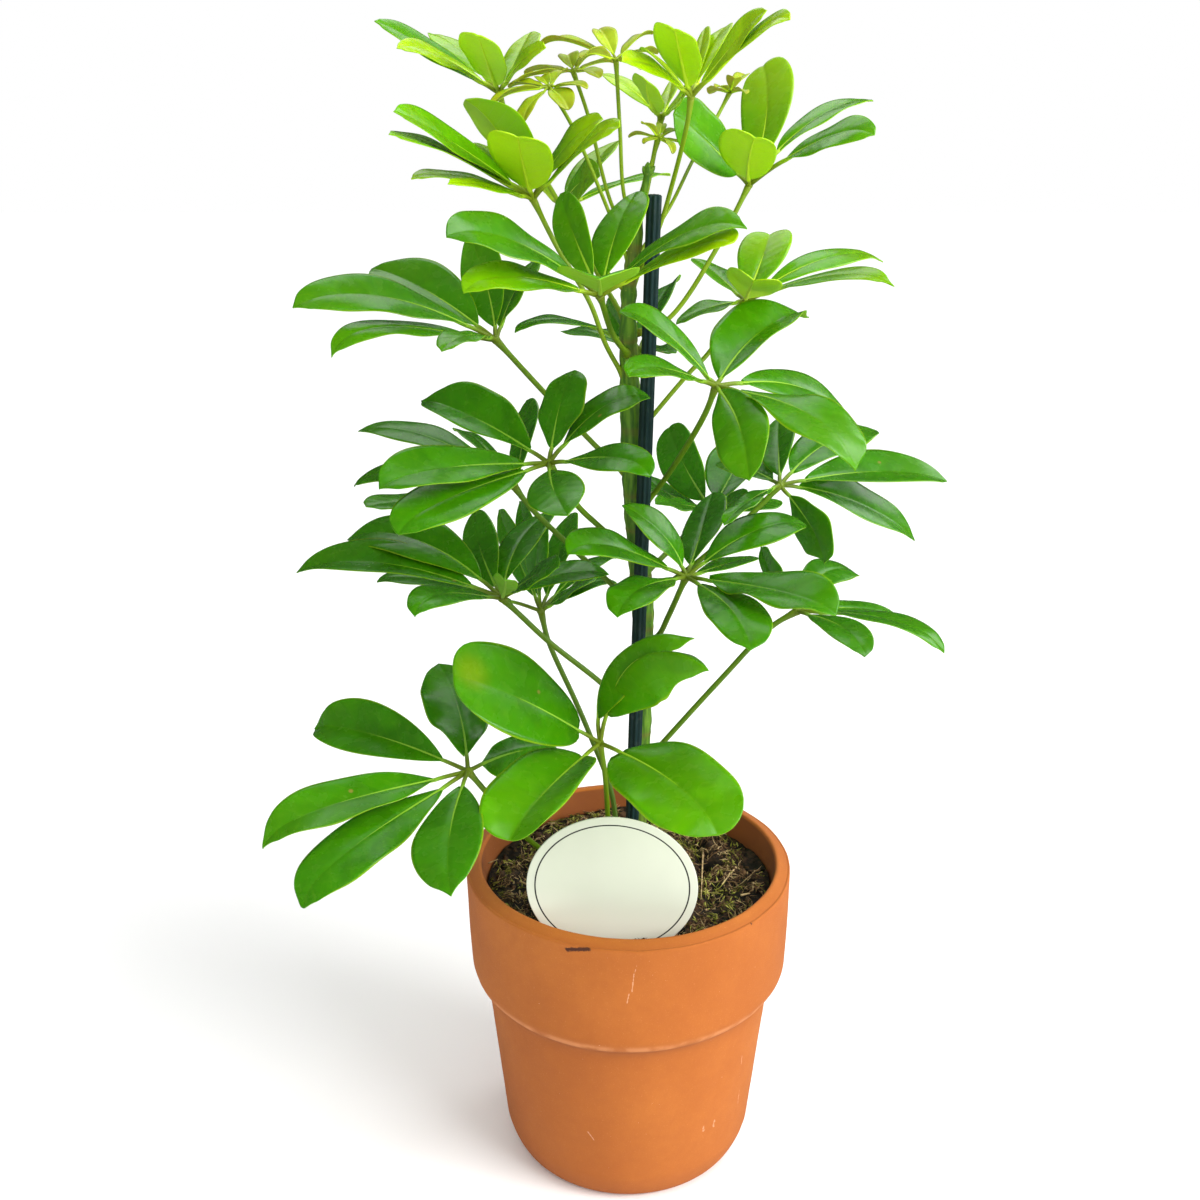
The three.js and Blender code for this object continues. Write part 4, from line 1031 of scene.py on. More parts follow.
turn = np.linspace(0.0, 2 * math.pi, CARD_SIDES, endpoint=False)
oval = np.stack([np.cos(turn), np.sin(turn)], axis=-1)
edge_turn = np.radians(np.linspace(-90, 90, 9))
inward = CARD_THICK / 2 * (1 - np.cos(edge_turn))
face_rows = np.concatenate([np.linspace(0.02, 0.9, 11), [0.95, 0.975, 0.986]])
flat_rows = np.ones(len(face_rows))
share = np.concatenate([face_rows, np.ones(len(edge_turn)), face_rows[::-1]])
height = CARD_THICK / 2 * np.concatenate([-flat_rows, np.sin(edge_turn), flat_rows])
inset = np.concatenate([0 * flat_rows, inward, 0 * flat_rows])
flat = oval[None] * (CARD_HALF * share[:, None, None] - inset[:, None, None])
warp = 0.25 * (flat[..., 0] / CARD_HALF[0]) ** 2
card_points = on_card(flat, height[:, None] - warp)
centre_points = np.zeros((2, 2))
card_ends = on_card(centre_points, np.array([-CARD_THICK / 2, CARD_THICK / 2]))
card_place = np.concatenate([flat.reshape(-1, 2), centre_points]) / PLACE_SPAN + 0.5
card_patch = closed_rings(card_points, card_ends, across=card_place[:, 0], along=card_place[:, 1])

PICK_ROWS, PICK_SIDES = 20, 24
pick_rows = np.linspace(0.0, 1.0, PICK_ROWS)[:, None]
pick_turn = np.linspace(0.0, 2 * math.pi, PICK_SIDES, endpoint=False)[None, :]
pick_half = (PICK_TIP + (PICK_WIDE - PICK_TIP) * pick_rows) / 2
pick_x = pick_half * np.sign(np.cos(pick_turn)) * np.abs(np.cos(pick_turn)) ** PICK_SQUARE
pick_y = -CARD_HALF[1] - PICK_LONG + (PICK_LONG + PICK_LAP) * pick_rows
pick_flat = np.stack([pick_x, pick_y + 0 * pick_turn], axis=-1)
pick_high = PICK_THIN * CARD_THICK / 2 * np.sin(pick_turn) + 0 * pick_rows
pick_ends = on_card(np.array([[0.0, pick_y[0, 0]], [0.0, pick_y[-1, 0]]]), np.zeros(2))
pick_patch = closed_rings(on_card(pick_flat, pick_high), pick_ends, flip=True, across=0.5, along=0.5)
print("card's height in mm:", (2 * CARD_HALF[1]).round(1))

# %% Card finish
RING_INSET = 3.5
RING_WIDE = 0.62
card_finish, tree, shader = new_finish("label_card_print", Roughness=0.38, Coat_Roughness=0.3)
place = node(tree, "ShaderNodeUVMap", {}, uv_map="place")
ring_scale = (*(PLACE_SPAN / (CARD_HALF - RING_INSET)).tolist(), 0.0)
centred = vector_maths(tree, "SUBTRACT", place, (0.5, 0.5, 0.0))
scaled = vector_maths(tree, "MULTIPLY", centred, ring_scale)
reach = vector_maths(tree, "LENGTH", scaled, output="Value")
off_ring = maths(tree, "ABSOLUTE", minus(tree, reach, 1.0))
ring_half = RING_WIDE / 2 / CARD_HALF.mean()
ring = stepped(tree, off_ring, ring_half * 1.25, ring_half * 0.75)
here = object_place(tree)
paper_and_painted_light = mixed(tree, noise(tree, here, 35.0, 3.0), colour(204, 209, 191), colour(213, 217, 200))
# Painted light: the card's lower half turns lighter towards its bottom edge, against the shade of the pot's
# front wall.
paper_and_painted_light = mixed(tree, stepped(tree, part(tree, place, "Y"), 0.5, 0.25), paper_and_painted_light, colour(236, 232, 218))
paper_and_painted_light = mixed(tree, ring, paper_and_painted_light, colour(20, 23, 20))
tree.links.new(paper_and_painted_light, shader["Base Color"])
tree.links.new(stepped(tree, noise(tree, here, 200.0), 0.3, 0.7, 0.32, 0.44), shader["Roughness"])
grained(tree, shader, here, 500.0, 2500.0, 0.00004, 0.5)
make_piece("oval_label", [card_patch, pick_patch], [card_finish], "label_card")

# %% [markdown]
# ## The stem
#
# The stem is a green shoot about 8 mm thick that thins towards its growing tip. It swells a little
# where a leaf stalk joins it. Old leaf bases left brownish scars across it. The stem is a rod along
# a smooth path through its sights, and the swellings and scars are worked out from the heights
# where the leaves join.

# %% Stem path
STEM_SIGHTS = [
    ((641, 725), 4), ((643, 610), 4), ((637, 540), 4), ((634, 500), 4), ((631, 420), 4),
    ((628.5, 340), 3), ((629, 290), 2), ((635, 245), 1), ((642, 200), 0), ((649, 168), -1),
]
STEM_FOOT, STEM_WAIST, STEM_TIP, STEM_TAPER = 4.2, 4.0, 1.3, 0.7
stem_seen = [at_setback(sight, setback) for sight, setback in STEM_SIGHTS]
stem_path = smooth_path([(2.5, 4.5, stake_foot[2] + 8), (3.0, 4.0, SOIL_TOP), *stem_seen], 230)


def stem_at(height):
    """The point of the stem's middle line at a height."""
    return np.array([np.interp(height, stem_path[:, 2], stem_path[:, axis]) for axis in range(3)])


def stem_radius(height):
    """The stem's radius at a height: an even taper, then a smooth one to the tip."""
    share = np.interp(height, stem_path[:, 2], np.linspace(0.0, 1.0, len(stem_path)))
    even = STEM_FOOT + (STEM_WAIST - STEM_FOOT) * share
    return even + (STEM_TIP - even) * smooth_step(share, STEM_TAPER, 1.0)


print("stem from", stem_path[0].round(1), "to", stem_path[-1].round(1))

# %% [markdown]
# ## The leaves' places
#
# Every leaf is a fan of leaflets that meet at a hub on a long stalk. The table holds what was read
# from the picture. Hub is the hub's sight and its depth. Root is the height where the stalk meets the
# stem, soil is the place where it comes out of the peat, and via holds sights that the stalk passes.
# A row is one leaflet. It starts with four sights: the tip, then the far edge, the midrib and the near
# edge three fifths of the way along. Its length, its width and its lean follow, and the lean is above
# 0 where the tip is farther from the eye than the hub.
#
# Words at a row's end change the leaflet's form. Notch is a dent in the tip, or a drip tip where it
# is below 0. Hook turns the tip down, wave ripples the margin, and curl moves the arch towards the
# tip. Round gives a broad leaflet, taper narrows it towards the tip, and rise sets how fast it widens
# from its foot. Stalk is the length of the leaflet's own stalk as a share, face turns the blade over,
# and age runs from 0 for a dark old leaflet to 1 for a yellow-green young one.

# %% Table of grown leaves
LEAVES = {}
LEAVES["leaf_low_left"] = {
    "hub": (468, 771, 625), "soil": [-23, 3], "via": [[525, 836], [545, 852]],
    "blades": [
        [307, 724, 368, 699, 368, 733, 352, 753, 80, 26, 1, {"notch": -0.05, "hook": 0.05}],
        [254, 849, 325, 780, 337, 803, 345, 820, 88, 24, -1, {"curl": 0.9, "notch": -0.07, "hook": 0.04}],
        [296, 912, 330, 832, 358, 843, 383, 860, 92, 28, -1, {"curl": 0.9, "notch": -0.06, "hook": 0.04}],
        [450, 895, 412, 840, 449, 838, 484, 838, 78, 29, -1, {"notch": -0.06}],
        [438, 662, 421, 702, 457, 704, 492, 706, 72, 29, 1, {"wave": 1.6}],
        [562, 750, 528, 733, 525, 750, 515, 783, 66, 26, 1],
    ],
}
LEAVES["leaf_low_front"] = {
    "hub": (600, 743, 640), "age": 0.28, "soil": [-8, -2], "via": [[605, 775]],
    "blades": [
        [449, 673, 531, 657, 513, 695, 488, 725, 78, 44, -1,
         {"round": 1, "wave": 0.6, "rise": 0.5, "age": 0.04, "notch": 0.03}],
        [507, 845, 503, 768, 537, 800, 557, 811, 76, 40, -1,
         {"round": 1, "notch": 0.05, "wave": 0.9, "rise": 0.42}],
        [718, 834, 706, 751, 680, 787, 652, 823, 80, 44, -1,
         {"round": 1, "wave": 1.4, "rise": 0.42, "age": 0.34}],
        [696, 629, 630, 664, 618, 655, 646, 676, 66, 30, -0.6,
         {"hook": 0.06, "wave": 0.5, "taper": 0.4, "rise": 0.6}],
        [710, 668, 654, 668, 641, 657, 667, 701, 66, 36, -1,
         {"hook": 0.06, "wave": 1.0, "taper": 0.4, "rise": 0.6, "age": 0.34}],
    ],
}
LEAVES["leaf_left_front"] = {
    "hub": (502, 598, 640), "root": 206, "via": [[520, 615], [548, 641], [600, 682]],
    "blades": [
        [294, 570, 382, 538, 377, 562, 375, 572, 88, 28, 1],
        [344, 536, 420, 514, 412, 538, 400, 556, 80, 30, 1],
        [414, 618, 440, 583, 445, 593, 447, 604, 60, 24, -1, {"curl": 0.8}],
        [472, 508, 460, 546, 479, 546, 501, 546, 66, 28, 1],
        [555, 509, 508, 532, 521, 539, 535, 546, 66, 26, 1],
        [557, 566, 535, 565, 537, 573, 537, 583, 52, 24, -1, {"curl": 0.6}],
        [610, 572, 566, 560, 563, 573, 560, 584, 58, 24, 0.1],
        [506, 577, 493, 582, 506, 586, 519, 582, 50, 26, -1],
    ],
}
LEAVES["leaf_left_back"] = {
    "hub": (541, 611, 702), "soil": [-4.5, 6], "via": [[548, 640], [575, 700], [590, 735], [612, 795]],
    "blades": [
        [375, 580, 425, 571, 430, 579, 428, 586, 74, 22, 0.3],
        [600, 571, 574, 582, 572, 589, 570, 596, 50, 24, -0.2],
        [617, 582, 592, 576, 594, 582, 596, 588, 58, 22, 0.2],
        [616, 558, 590, 556, 590, 563, 590, 572, 66, 22, 1],
        [546, 524, 524, 555, 536, 556, 548, 556, 56, 26, -0.3],
        [568, 511, 546, 545, 560, 548, 574, 546, 64, 26, 1],
        [497, 509, 500, 548, 514, 550, 526, 548, 62, 24, 1],
        [517, 500, 518, 542, 529, 544, 540, 544, 66, 22, 1],
    ],
}
LEAVES["leaf_mid_left_front"] = {
    "hub": (549, 463, 600), "root": 277, "via": [[577, 505], [600, 527]],
    "blades": [
        [419, 397, 489, 387, 472, 416, 463, 428, 70, 28, 1, {"notch": -0.05}],
        [378, 489, 443, 442, 447, 467, 446, 484, 76, 28, -1, {"curl": 0.7}],
        [396, 534, 441, 476, 452, 496, 464, 517, 80, 31, -1, {"curl": 0.7}],
        [567, 513, 523, 492, 554, 491, 587, 488, 58, 28, -1],
        [651, 477, 610, 442, 613, 457, 612, 471, 58, 26, -1, {"curl": 0.7}],
        [652, 395, 600, 392, 607, 404, 616, 414, 58, 24, 0.1],
        [573, 367, 540, 403, 560, 403, 586, 399, 56, 24, 0.3],
    ],
}
LEAVES["leaf_mid_left_back"] = {
    "hub": (514, 486, 650), "root": 254, "via": [[530, 507], [567, 543], [607, 580]],
    "blades": [
        [357, 430, 423, 422, 422, 434, 420, 446, 72, 24, 1],
        [353, 487, 400, 459, 408, 471, 420, 482, 72, 24, 1, {"curl": 0.7}],
        [367, 504, 410, 491, 412, 500, 415, 509, 68, 24, -1],
        [524, 398, 511, 430, 523, 432, 537, 430, 62, 26, 1],
        [455, 427, 482, 436, 480, 442, 476, 448, 52, 22, 1],
        [418, 447, 458, 455, 460, 462, 458, 470, 56, 22, 0.5],
    ],
}
LEAVES["leaf_upper_left"] = {
    "hub": (496, 340, 625), "root": 312, "via": [[541, 389], [587, 437], [600, 450]],
    "blades": [
        [291, 305, 380, 276, 376, 295, 374, 312, 84, 26, -1],
        [371, 268, 436, 261, 421, 287, 410, 305, 70, 32, 1],
        [327, 358, 396, 318, 395, 326, 393, 335, 74, 20, -1, {"curl": 0.9}],
        [441, 349, 456, 329, 466, 335, 471, 341, 50, 22, -1],
        [468, 232, 459, 274, 485, 280, 507, 278, 60, 28, 1],
        [540, 256, 507, 283, 517, 286, 527, 288, 54, 24, 1],
    ],
}
LEAVES["leaf_upper_front"] = {
    "hub": (600, 296, 560), "age": 0.22, "root": 362, "via": [[613, 335]],
    "blades": [
        [446, 234, 517, 221, 508, 238, 500, 252, 68, 28, -1, {"age": 0.04}],
        [461, 291, 518, 262, 517, 276, 515, 289, 60, 24, -1, {"curl": 0.6, "age": 0.6}],
        [560, 193, 551, 228, 572, 231, 592, 232, 56, 24, 1],
        [637, 191, 598, 222, 618, 226, 641, 228, 58, 26, 1],
        [748, 226, 683, 219, 687, 232, 692, 241, 66, 26, -1, {"notch": -0.08, "taper": 0.4}],
        # Painted light: the next leaflet's age of 1 makes it bright yellow-green where it catches the light.
        [734, 240, 690, 237, 691, 247, 692, 256, 62, 20, -1, {"notch": 0.0, "age": 1.0}],
        [599, 274, 557, 271, 600, 281, 641, 267, 56, 31, -1],
    ],
}
LEAVES["leaf_high_left"] = {
    "hub": (533, 199, 585), "root": 350, "via": [[556, 245], [590, 303], [606, 345]],
    "blades": [
        [394, 110, 455, 127, 449, 139, 446, 146, 72, 22, -1, {"taper": 0.5, "age": 0.42}],
        [388, 133, 442, 144, 444, 149, 447, 154, 70, 18, -1, {"taper": 0.6, "age": 0.6}],
        [410, 177, 460, 171, 460, 175, 460, 180, 62, 20, -0.5, {"taper": 0.6}],
        [447, 182, 484, 180, 486, 185, 488, 190, 52, 18, -1, {"taper": 0.7}],
        [518, 129, 490, 155, 522, 157, 553, 157, 54, 25, -1, {"round": 1, "notch": 0.08, "age": 0.95}],
        [466, 97, 483, 136, 500, 131, 525, 119, 58, 34, -0.3, {"age": 0.6}],
        [482, 143, 505, 149, 499, 156, 490, 161, 56, 20, 0.4],
        [603, 118, 561, 136, 568, 143, 576, 149, 52, 24, -0.5],
        [617, 123, 582, 139, 584, 144, 586, 149, 60, 20, -1],
    ],
}
LEAVES["leaf_high_back"] = {"hub": (562, 207, 640), "root": 374, "via": [[590, 260]], "blades": [
    [671, 173, 629, 176, 631, 179, 632, 182, 62, 16, 1],
    [617, 138, 579, 161, 591, 166, 603, 164, 50, 24, 1],
    [599, 175, 574, 168, 580, 182, 582, 196, 42, 26, -1],
    [520, 155, 528, 172, 536, 178, 546, 178, 46, 22, 1],
]}
LEAVES["leaf_top_left"] = {
    "hub": (499, 93, 596), "root": 387, "via": [[512, 130], [548, 184], [590, 255]],
    "blades": [
        [375, 19, 433, 39, 425, 46, 418, 53, 62, 22, -0.3, {"taper": 0.6, "age": 0.3}],
        [397, 45, 440, 48, 437, 54, 435, 61, 54, 18, -1, {"taper": 0.7, "age": 0.85}],
        [432, 33, 468, 42, 460, 49, 448, 53, 50, 22, 1, {"age": 0.7}],
        [478, 32, 464, 56, 486, 56, 504, 56, 48, 20, -1, {"round": 1}],
        [530, 31, 503, 55, 518, 54, 536, 50, 50, 22, 1, {"taper": 0.5, "age": 0.7}],
        [545, 47, 518, 55, 523, 59, 527, 63, 46, 17, -1],
    ],
}
LEAVES["leaf_top_right"] = {
    "hub": (691, 97, 560), "root": 386, "via": [[688, 120], [672, 185, 1], [659, 228, 4]],
    "blades": [
        [764, 8, 722, 40, 734, 42, 746, 40, 50, 22, -0.6, {"taper": 0.5}],
        [788, 16, 754, 27, 756, 32, 757, 37, 54, 16, -1, {"taper": 0.6}],
        [727, 23, 700, 45, 710, 48, 722, 46, 46, 20, 1],
        [675, 23, 657, 49, 680, 50, 700, 50, 46, 20, -1, {"round": 1, "notch": 0.04}],
        [705, 27, 692, 52, 699, 54, 707, 54, 46, 18, 1],
        [641, 45, 659, 57, 664, 64, 668, 70, 40, 18, 1],
        [622, 60, 654, 58, 654, 66, 652, 73, 46, 18, -1],
    ],
}
LEAVES["leaf_top_back"] = {"hub": (661, 118, 606), "root": 405, "via": [[645, 200]], "blades": [
    [602, 71, 634, 80, 631, 88, 627, 95, 42, 18, 1],
    [648, 79, 636, 89, 649, 95, 662, 93, 38, 24, -1],
    [672, 78, 662, 92, 669, 94, 676, 93, 38, 18, 1],
    [692, 84, 676, 95, 679, 98, 682, 101, 36, 16, -1],
]}
LEAVES["leaf_high_right"] = {
    "hub": (749, 185, 612), "root": 370, "via": [[733, 217], [717, 248], [667, 320]],
    "blades": [
        [761, 62, 741, 105, 767, 104, 793, 103, 66, 27, 1, {"round": 1, "notch": 0.03, "age": 0.75}],
        [758, 130, 717, 152, 750, 155, 778, 149, 48, 28, -1, {"round": 1, "notch": 0.08, "age": 0.9}],
        [675, 113, 724, 122, 704, 138, 688, 156, 58, 29, -0.4, {"round": 1, "age": 0.3}],
        [874, 97, 812, 109, 817, 117, 825, 122, 66, 21, 1, {"stalk": 0.28, "taper": 0.4, "age": 0.45}],
        [874, 131, 824, 126, 826, 137, 827, 149, 62, 22, -1, {"stalk": 0.28, "taper": 0.5, "age": 0.4}],
    ],
}
LEAVES["leaf_mid_right_back"] = {
    "hub": (745, 301, 642), "age": 0.72, "root": 328, "via": [[706, 356], [690, 372]],
    "blades": [
        [771, 228, 738, 250, 764, 252, 790, 248, 46, 22, 1, {"round": 1, "notch": 0.13, "wave": 0.2}],
        [756, 275, 724, 280, 751, 287, 785, 281, 48, 34, -1, {"round": 1, "notch": 0.14, "age": 0.9}],
        [886, 257, 826, 248, 829, 257, 832, 268, 66, 22, 1,
         {"notch": -0.06, "hook": 0.03, "taper": 0.5, "age": 0.5}],
        [896, 281, 836, 268, 836, 274, 836, 281, 70, 20, -1,
         {"notch": -0.08, "hook": 0.03, "taper": 0.6, "age": 0.5}],
        [693, 257, 724, 267, 717, 274, 711, 278, 50, 22, 1, {"age": 0.4}],
        [675, 323, 703, 301, 706, 308, 710, 313, 42, 22, -0.2, {"age": 0.3}],
    ],
}
LEAVES["leaf_mid_right_front"] = {
    "hub": (716, 386, 580), "root": 297, "via": [[704, 416], [656, 491, 5]],
    "blades": [
        [619, 308, 673, 320, 662, 329, 655, 334, 60, 24, -0.2, {"stalk": 0.07}],
        [628, 376, 661, 357, 661, 367, 663, 376, 54, 24, -1, {"curl": 0.6}],
        [811, 306, 737, 303, 762, 330, 771, 338, 70, 34, 1,
         {"notch": -0.06, "hook": 0.06, "taper": 0.3, "stalk": 0.07}],
        [747, 479, 710, 430, 741, 432, 774, 434, 66, 32, -1, {"stalk": 0.06}],
        [857, 472, 822, 396, 808, 413, 797, 430, 76, 34, -1, {"curl": 0.6, "notch": -0.04, "wave": 1.4}],
        [862, 436, 818, 380, 812, 391, 803, 402, 70, 30, 1],
    ],
}
LEAVES["leaf_right"] = {"hub": (780, 485, 662), "root": 260, "via": [[758, 508], [700, 560]], "blades": [
    [949, 479, 880, 449, 881, 471, 882, 482, 76, 30, 1],
    [918, 539, 868, 486, 860, 503, 857, 515, 76, 28, 1],
    [820, 562, 792, 531, 813, 531, 836, 533, 60, 27, -0.1, {"curl": 0.6, "face": -1}],
    [779, 416, 759, 441, 778, 442, 796, 441, 58, 26, 1],
    [879, 428, 818, 425, 832, 440, 845, 455, 72, 30, 1],
    [716, 462, 750, 455, 745, 467, 742, 476, 58, 24, 1],
    [723, 524, 748, 491, 748, 501, 746, 511, 56, 24, -1],
]}
LEAVES["leaf_low_right_front"] = {
    "hub": (686, 577, 622), "root": 238, "via": [[668, 617], [657, 637, 5]],
    "blades": [
        [622, 504, 674, 524, 662, 533, 651, 540, 60, 24, -0.1],
        [566, 554, 617, 531, 614, 546, 612, 558, 62, 26, -1, {"curl": 0.6}],
        [617, 618, 632, 573, 640, 588, 650, 602, 56, 30, -1, {"curl": 0.6}],
        [712, 491, 684, 523, 703, 524, 723, 524, 62, 26, 1],
        [808, 523, 752, 512, 758, 529, 765, 545, 62, 28, 0.5],
        [838, 613, 783, 566, 777, 590, 773, 604, 76, 32, -1, {"curl": 0.6, "notch": -0.03, "wave": 1.4}],
        [750, 650, 756, 596, 734, 612, 716, 629, 72, 33, -1],
        [756, 556, 728, 556, 730, 562, 733, 568, 56, 22, 1],
    ],
}
LEAVES["leaf_low_right_back"] = {
    "hub": (797, 611, 660), "root": 183, "via": [[771, 627], [720, 680]],
    "blades": [
        [948, 652, 893, 612, 890, 619, 888, 625, 76, 24, -0.5, {"curl": 0.6}],
        [901, 617, 862, 600, 861, 608, 859, 615, 62, 22, 1],
        [865, 657, 852, 617, 843, 627, 833, 637, 60, 24, -1, {"curl": 0.6}],
        [861, 573, 822, 556, 828, 571, 834, 586, 60, 26, 1],
        [760, 546, 762, 578, 774, 580, 785, 576, 56, 24, 1],
    ],
}
LEAVES["leaf_mid_back"] = {"hub": (712, 510, 707), "root": 270, "via": [[680, 540]], "blades": [
    [668, 425, 656, 461, 682, 461, 705, 462, 66, 32, 1, {"round": 1}],
    [757, 430, 713, 448, 737, 464, 757, 474, 68, 34, 1],
    [645, 471, 668, 484, 663, 490, 657, 496, 58, 24, 1],
    [656, 501, 680, 498, 682, 504, 684, 510, 50, 22, -1],
    [746, 492, 727, 495, 731, 501, 733, 508, 46, 22, -1],
    [782, 500, 752, 496, 753, 504, 753, 512, 50, 24, 1],
]}
LEAVES["leaf_upper_back"] = {"hub": (640, 350, 656), "root": 338, "via": [], "blades": [
    [513, 331, 563, 316, 563, 319, 563, 323, 64, 20, -0.5],
    [563, 331, 590, 325, 590, 331, 588, 337, 52, 22, 1],
    [604, 301, 606, 322, 617, 322, 626, 314, 50, 24, 1],
    [677, 276, 647, 300, 658, 303, 668, 299, 60, 26, 1],
    [676, 352, 662, 343, 660, 348, 658, 352, 40, 18, -1],
]}


def leaflet_row(flat):
    """A row of the table as four sights, the length, the width, the lean and the words on its form."""
    return [*np.reshape(flat[:8], (4, 2)), *flat[8:11], flat[11] if len(flat) > 11 else {}]


print("grown leaves:", len(LEAVES), "with", sum(len(leaf["blades"]) for leaf in LEAVES.values()), "leaflets")

# %% [markdown]
# At the growing tip stand small young leaves, still folded along their midribs. A row of theirs is
# the sight of a leaflet's tip, then its length, width and lean.

# %% Table of young leaves
YOUNG_LEAVES = {}
YOUNG_LEAVES["young_leaf_left"] = {
    "hub": (549, 87, 578), "root": 396, "via": [[570, 122], [584, 152], [604, 200]],
    "blades": [
        [489, 104, 26, 7, -1], [521, 121, 22, 8, -1], [569, 108, 18, 9, -1], [588, 87, 18, 6, -1],
        [508, 86, 18, 6, 1], [540, 76, 12, 6, 1], [566, 70, 14, 6, 1],
    ],
}
YOUNG_LEAVES["young_leaf_middle"] = {
    "hub": (573, 71, 592), "root": 402, "via": [[588, 115], [610, 200]],
    "blades": [
        [524, 73, 22, 7, 1], [510, 84, 26, 7, -1], [567, 53, 12, 8, 1], [595, 52, 14, 7, 1],
        [600, 76, 18, 8, -1], [616, 62, 20, 6, 1],
    ],
}
YOUNG_LEAVES["young_leaf_top"] = {
    "hub": (616, 60, 580), "root": 408, "via": [[620, 130], [624, 195]],
    "blades": [
        [598, 27, 18, 9, 1], [652, 30, 20, 9, 1], [537, 39, 34, 8, 1], [580, 54, 20, 7, -1],
        [658, 52, 22, 7, 1], [642, 66, 18, 8, -1],
    ],
}
YOUNG_LEAVES["young_leaf_low"] = {
    "hub": (659, 137, 592), "root": 410, "via": [[650, 168], [640, 197]],
    "blades": [
        [642, 122, 12, 4, -1], [628, 135, 14, 4, 1], [643, 143, 8, 4, -1], [674, 152, 13, 4, -1],
        [681, 130, 14, 4, 1], [692, 149, 16, 4, 1], [662, 122, 10, 4, 1],
    ],
}
YOUNG_LEAVES["young_leaf_right"] = {
    "hub": (730, 92, 625), "root": 398, "via": [[717, 117], [693, 160], [668, 210, 12]],
    "blades": [
        [747, 92, 12, 5, -1], [716, 86, 12, 5, -1], [747, 72, 16, 6, 1], [735, 77, 12, 6, -1],
        [709, 92, 14, 7, 1],
    ],
}
print("young leaves:", len(YOUNG_LEAVES))

# %% [markdown]
# ## One leaflet
#
# A leaflet could be a flat outline with a picture of veins on it. Here it is a closed thin sheet
# with a true form, since it is seen against the light from every side. Its midrib is an arch from
# the hub to the tip. Its half widths lean as the two edges were read. The blade is then bent once
# more by small swells: a soft groove along the midrib, pillows between the side veins and a wave
# along the margin. The last row of the grid is an arc, so that the tip is round and not cut off.

# %% Leaflet form
WHORL_OUTWARD = 0.25
SPOKE_SHARE = 0.15
WIDEST = 0.55
WIDEST_SHARE = SPOKE_SHARE + (1 - SPOKE_SHARE) * WIDEST
ARCH = 0.07
CURL = 0.3
ROUND_RISE, LONG_RISE = 0.66, 0.85
DROP_SHARE = 0.72
LONG_TAPER = 0.25


def whorl_axis(hub):
    """The way a fan opens: upward, and a little away from the stem."""
    return unit(np.array([0.0, 0.0, 1.0]) + WHORL_OUTWARD * unit(np.array([hub[0], hub[1], 0.0])))


def square_to(directions, along):
    """The unit parts of directions that stand square to others."""
    return unit(directions - along * np.sum(directions * along, axis=-1, keepdims=True))


def arch(share, curl):
    """The midrib's rise: t^(1+0.3c) (1-t)^(1-0.5c), as a share of its rise at the widest place."""
    def rise(at):
        """The rise before it is divided by its value at the widest place."""
        return at ** (1 + 0.3 * curl) * (1 - at) ** (1 - 0.5 * curl)
    return rise(share) / rise(WIDEST_SHARE)


def spread(at, shape):
    """The half width as a share of the largest: t^a (1-t)^b, narrowed towards the tip if asked."""
    usual = ROUND_RISE if shape.get("round") else LONG_RISE
    rise = shape.get("rise", usual)
    drop = DROP_SHARE * usual * (1 - WIDEST) / WIDEST
    peak = rise / (rise + drop)
    narrow = 1 - shape.get("taper", 0.0 if shape.get("round") else LONG_TAPER) * at ** 5
    return at ** rise * (1 - at) ** drop / (peak ** rise * (1 - peak) ** drop) * narrow


def leaflet_lines(hub, axis, row):
    """A leaflet's middle line, as a function of the share of its length, and its two half widths.

    The middle line is the straight way to the tip plus a bow, whose height is read at the widest
    place. The half widths are read there too, and stand square to the middle line.
    """
    tip, far, rib, near, length, width, lean, shape = row
    chord = at_distance(hub, tip, length, lean) - hub
    ahead = unit(chord)
    up = square_to(axis, ahead)
    rib_point = hub + chord * WIDEST_SHARE + up * ARCH * np.linalg.norm(chord)
    if rib is not None:
        rib_point = nearest_to(rib_point, rib)
    bow = rib_point - hub - chord * WIDEST_SHARE

    def midrib(share):
        """The middle line's point at a share: hub + chord t + bow arch(t)."""
        share = np.asarray(share)[..., None]
        return hub + chord * share + bow * arch(share, shape.get("curl", CURL))

    heading = unit(midrib(WIDEST_SHARE + 0.01) - midrib(WIDEST_SHARE - 0.01))
    if rib is None:
        across = np.cross(ahead, up) * width / 2
        halves = [across, -across]
    else:
        edges = ((far, 1), (near, -1))
        halves = [at_distance(rib_point, edge, width / 2, side) - rib_point for edge, side in edges]
        halves = [half - heading * np.dot(half, heading) for half in halves]
    if np.dot(np.cross(halves[0] - halves[1], heading), axis) * shape.get("face", 1) < 0:
        halves = halves[::-1]
    return midrib, halves


def heading_at(midrib, share):
    """The way ahead along a middle line, from two near shares."""
    share = np.clip(share, 0.002, 0.996)
    return unit(midrib(share + 0.002) - midrib(share - 0.002))


# %% [markdown]
# The swells are fractions of a millimetre. Each leaflet draws its own camber, ripple and hook, so no
# two blades catch the light in the same way.

# %% Swells and tip of a blade
VEINS = 9
VEIN_SLANT = 0.17
CAMBER = (0.05, 0.12)
GROOVE_DEEP, GROOVE_WIDE = 0.28, 0.9
PILLOW_HIGH = 0.09


def tip_arc(at, side, wide, half_wide, blade_long):
    """The arc that closes a blade's last row, as shares of the blade's length.

    The blade narrows there with a slope s. The arc that goes on from both edges without a corner
    has the radius half width / cos(atan(s)).
    """
    slope = -(wide[-1] - wide[-2]) * half_wide / ((at[-1] - at[-2]) * blade_long)
    level = math.cos(math.atan(slope))
    arc_radius = wide[-1] * half_wide / level
    return (np.sqrt(1 - (level * side) ** 2) - math.sqrt(1 - level ** 2)) * arc_radius / blade_long


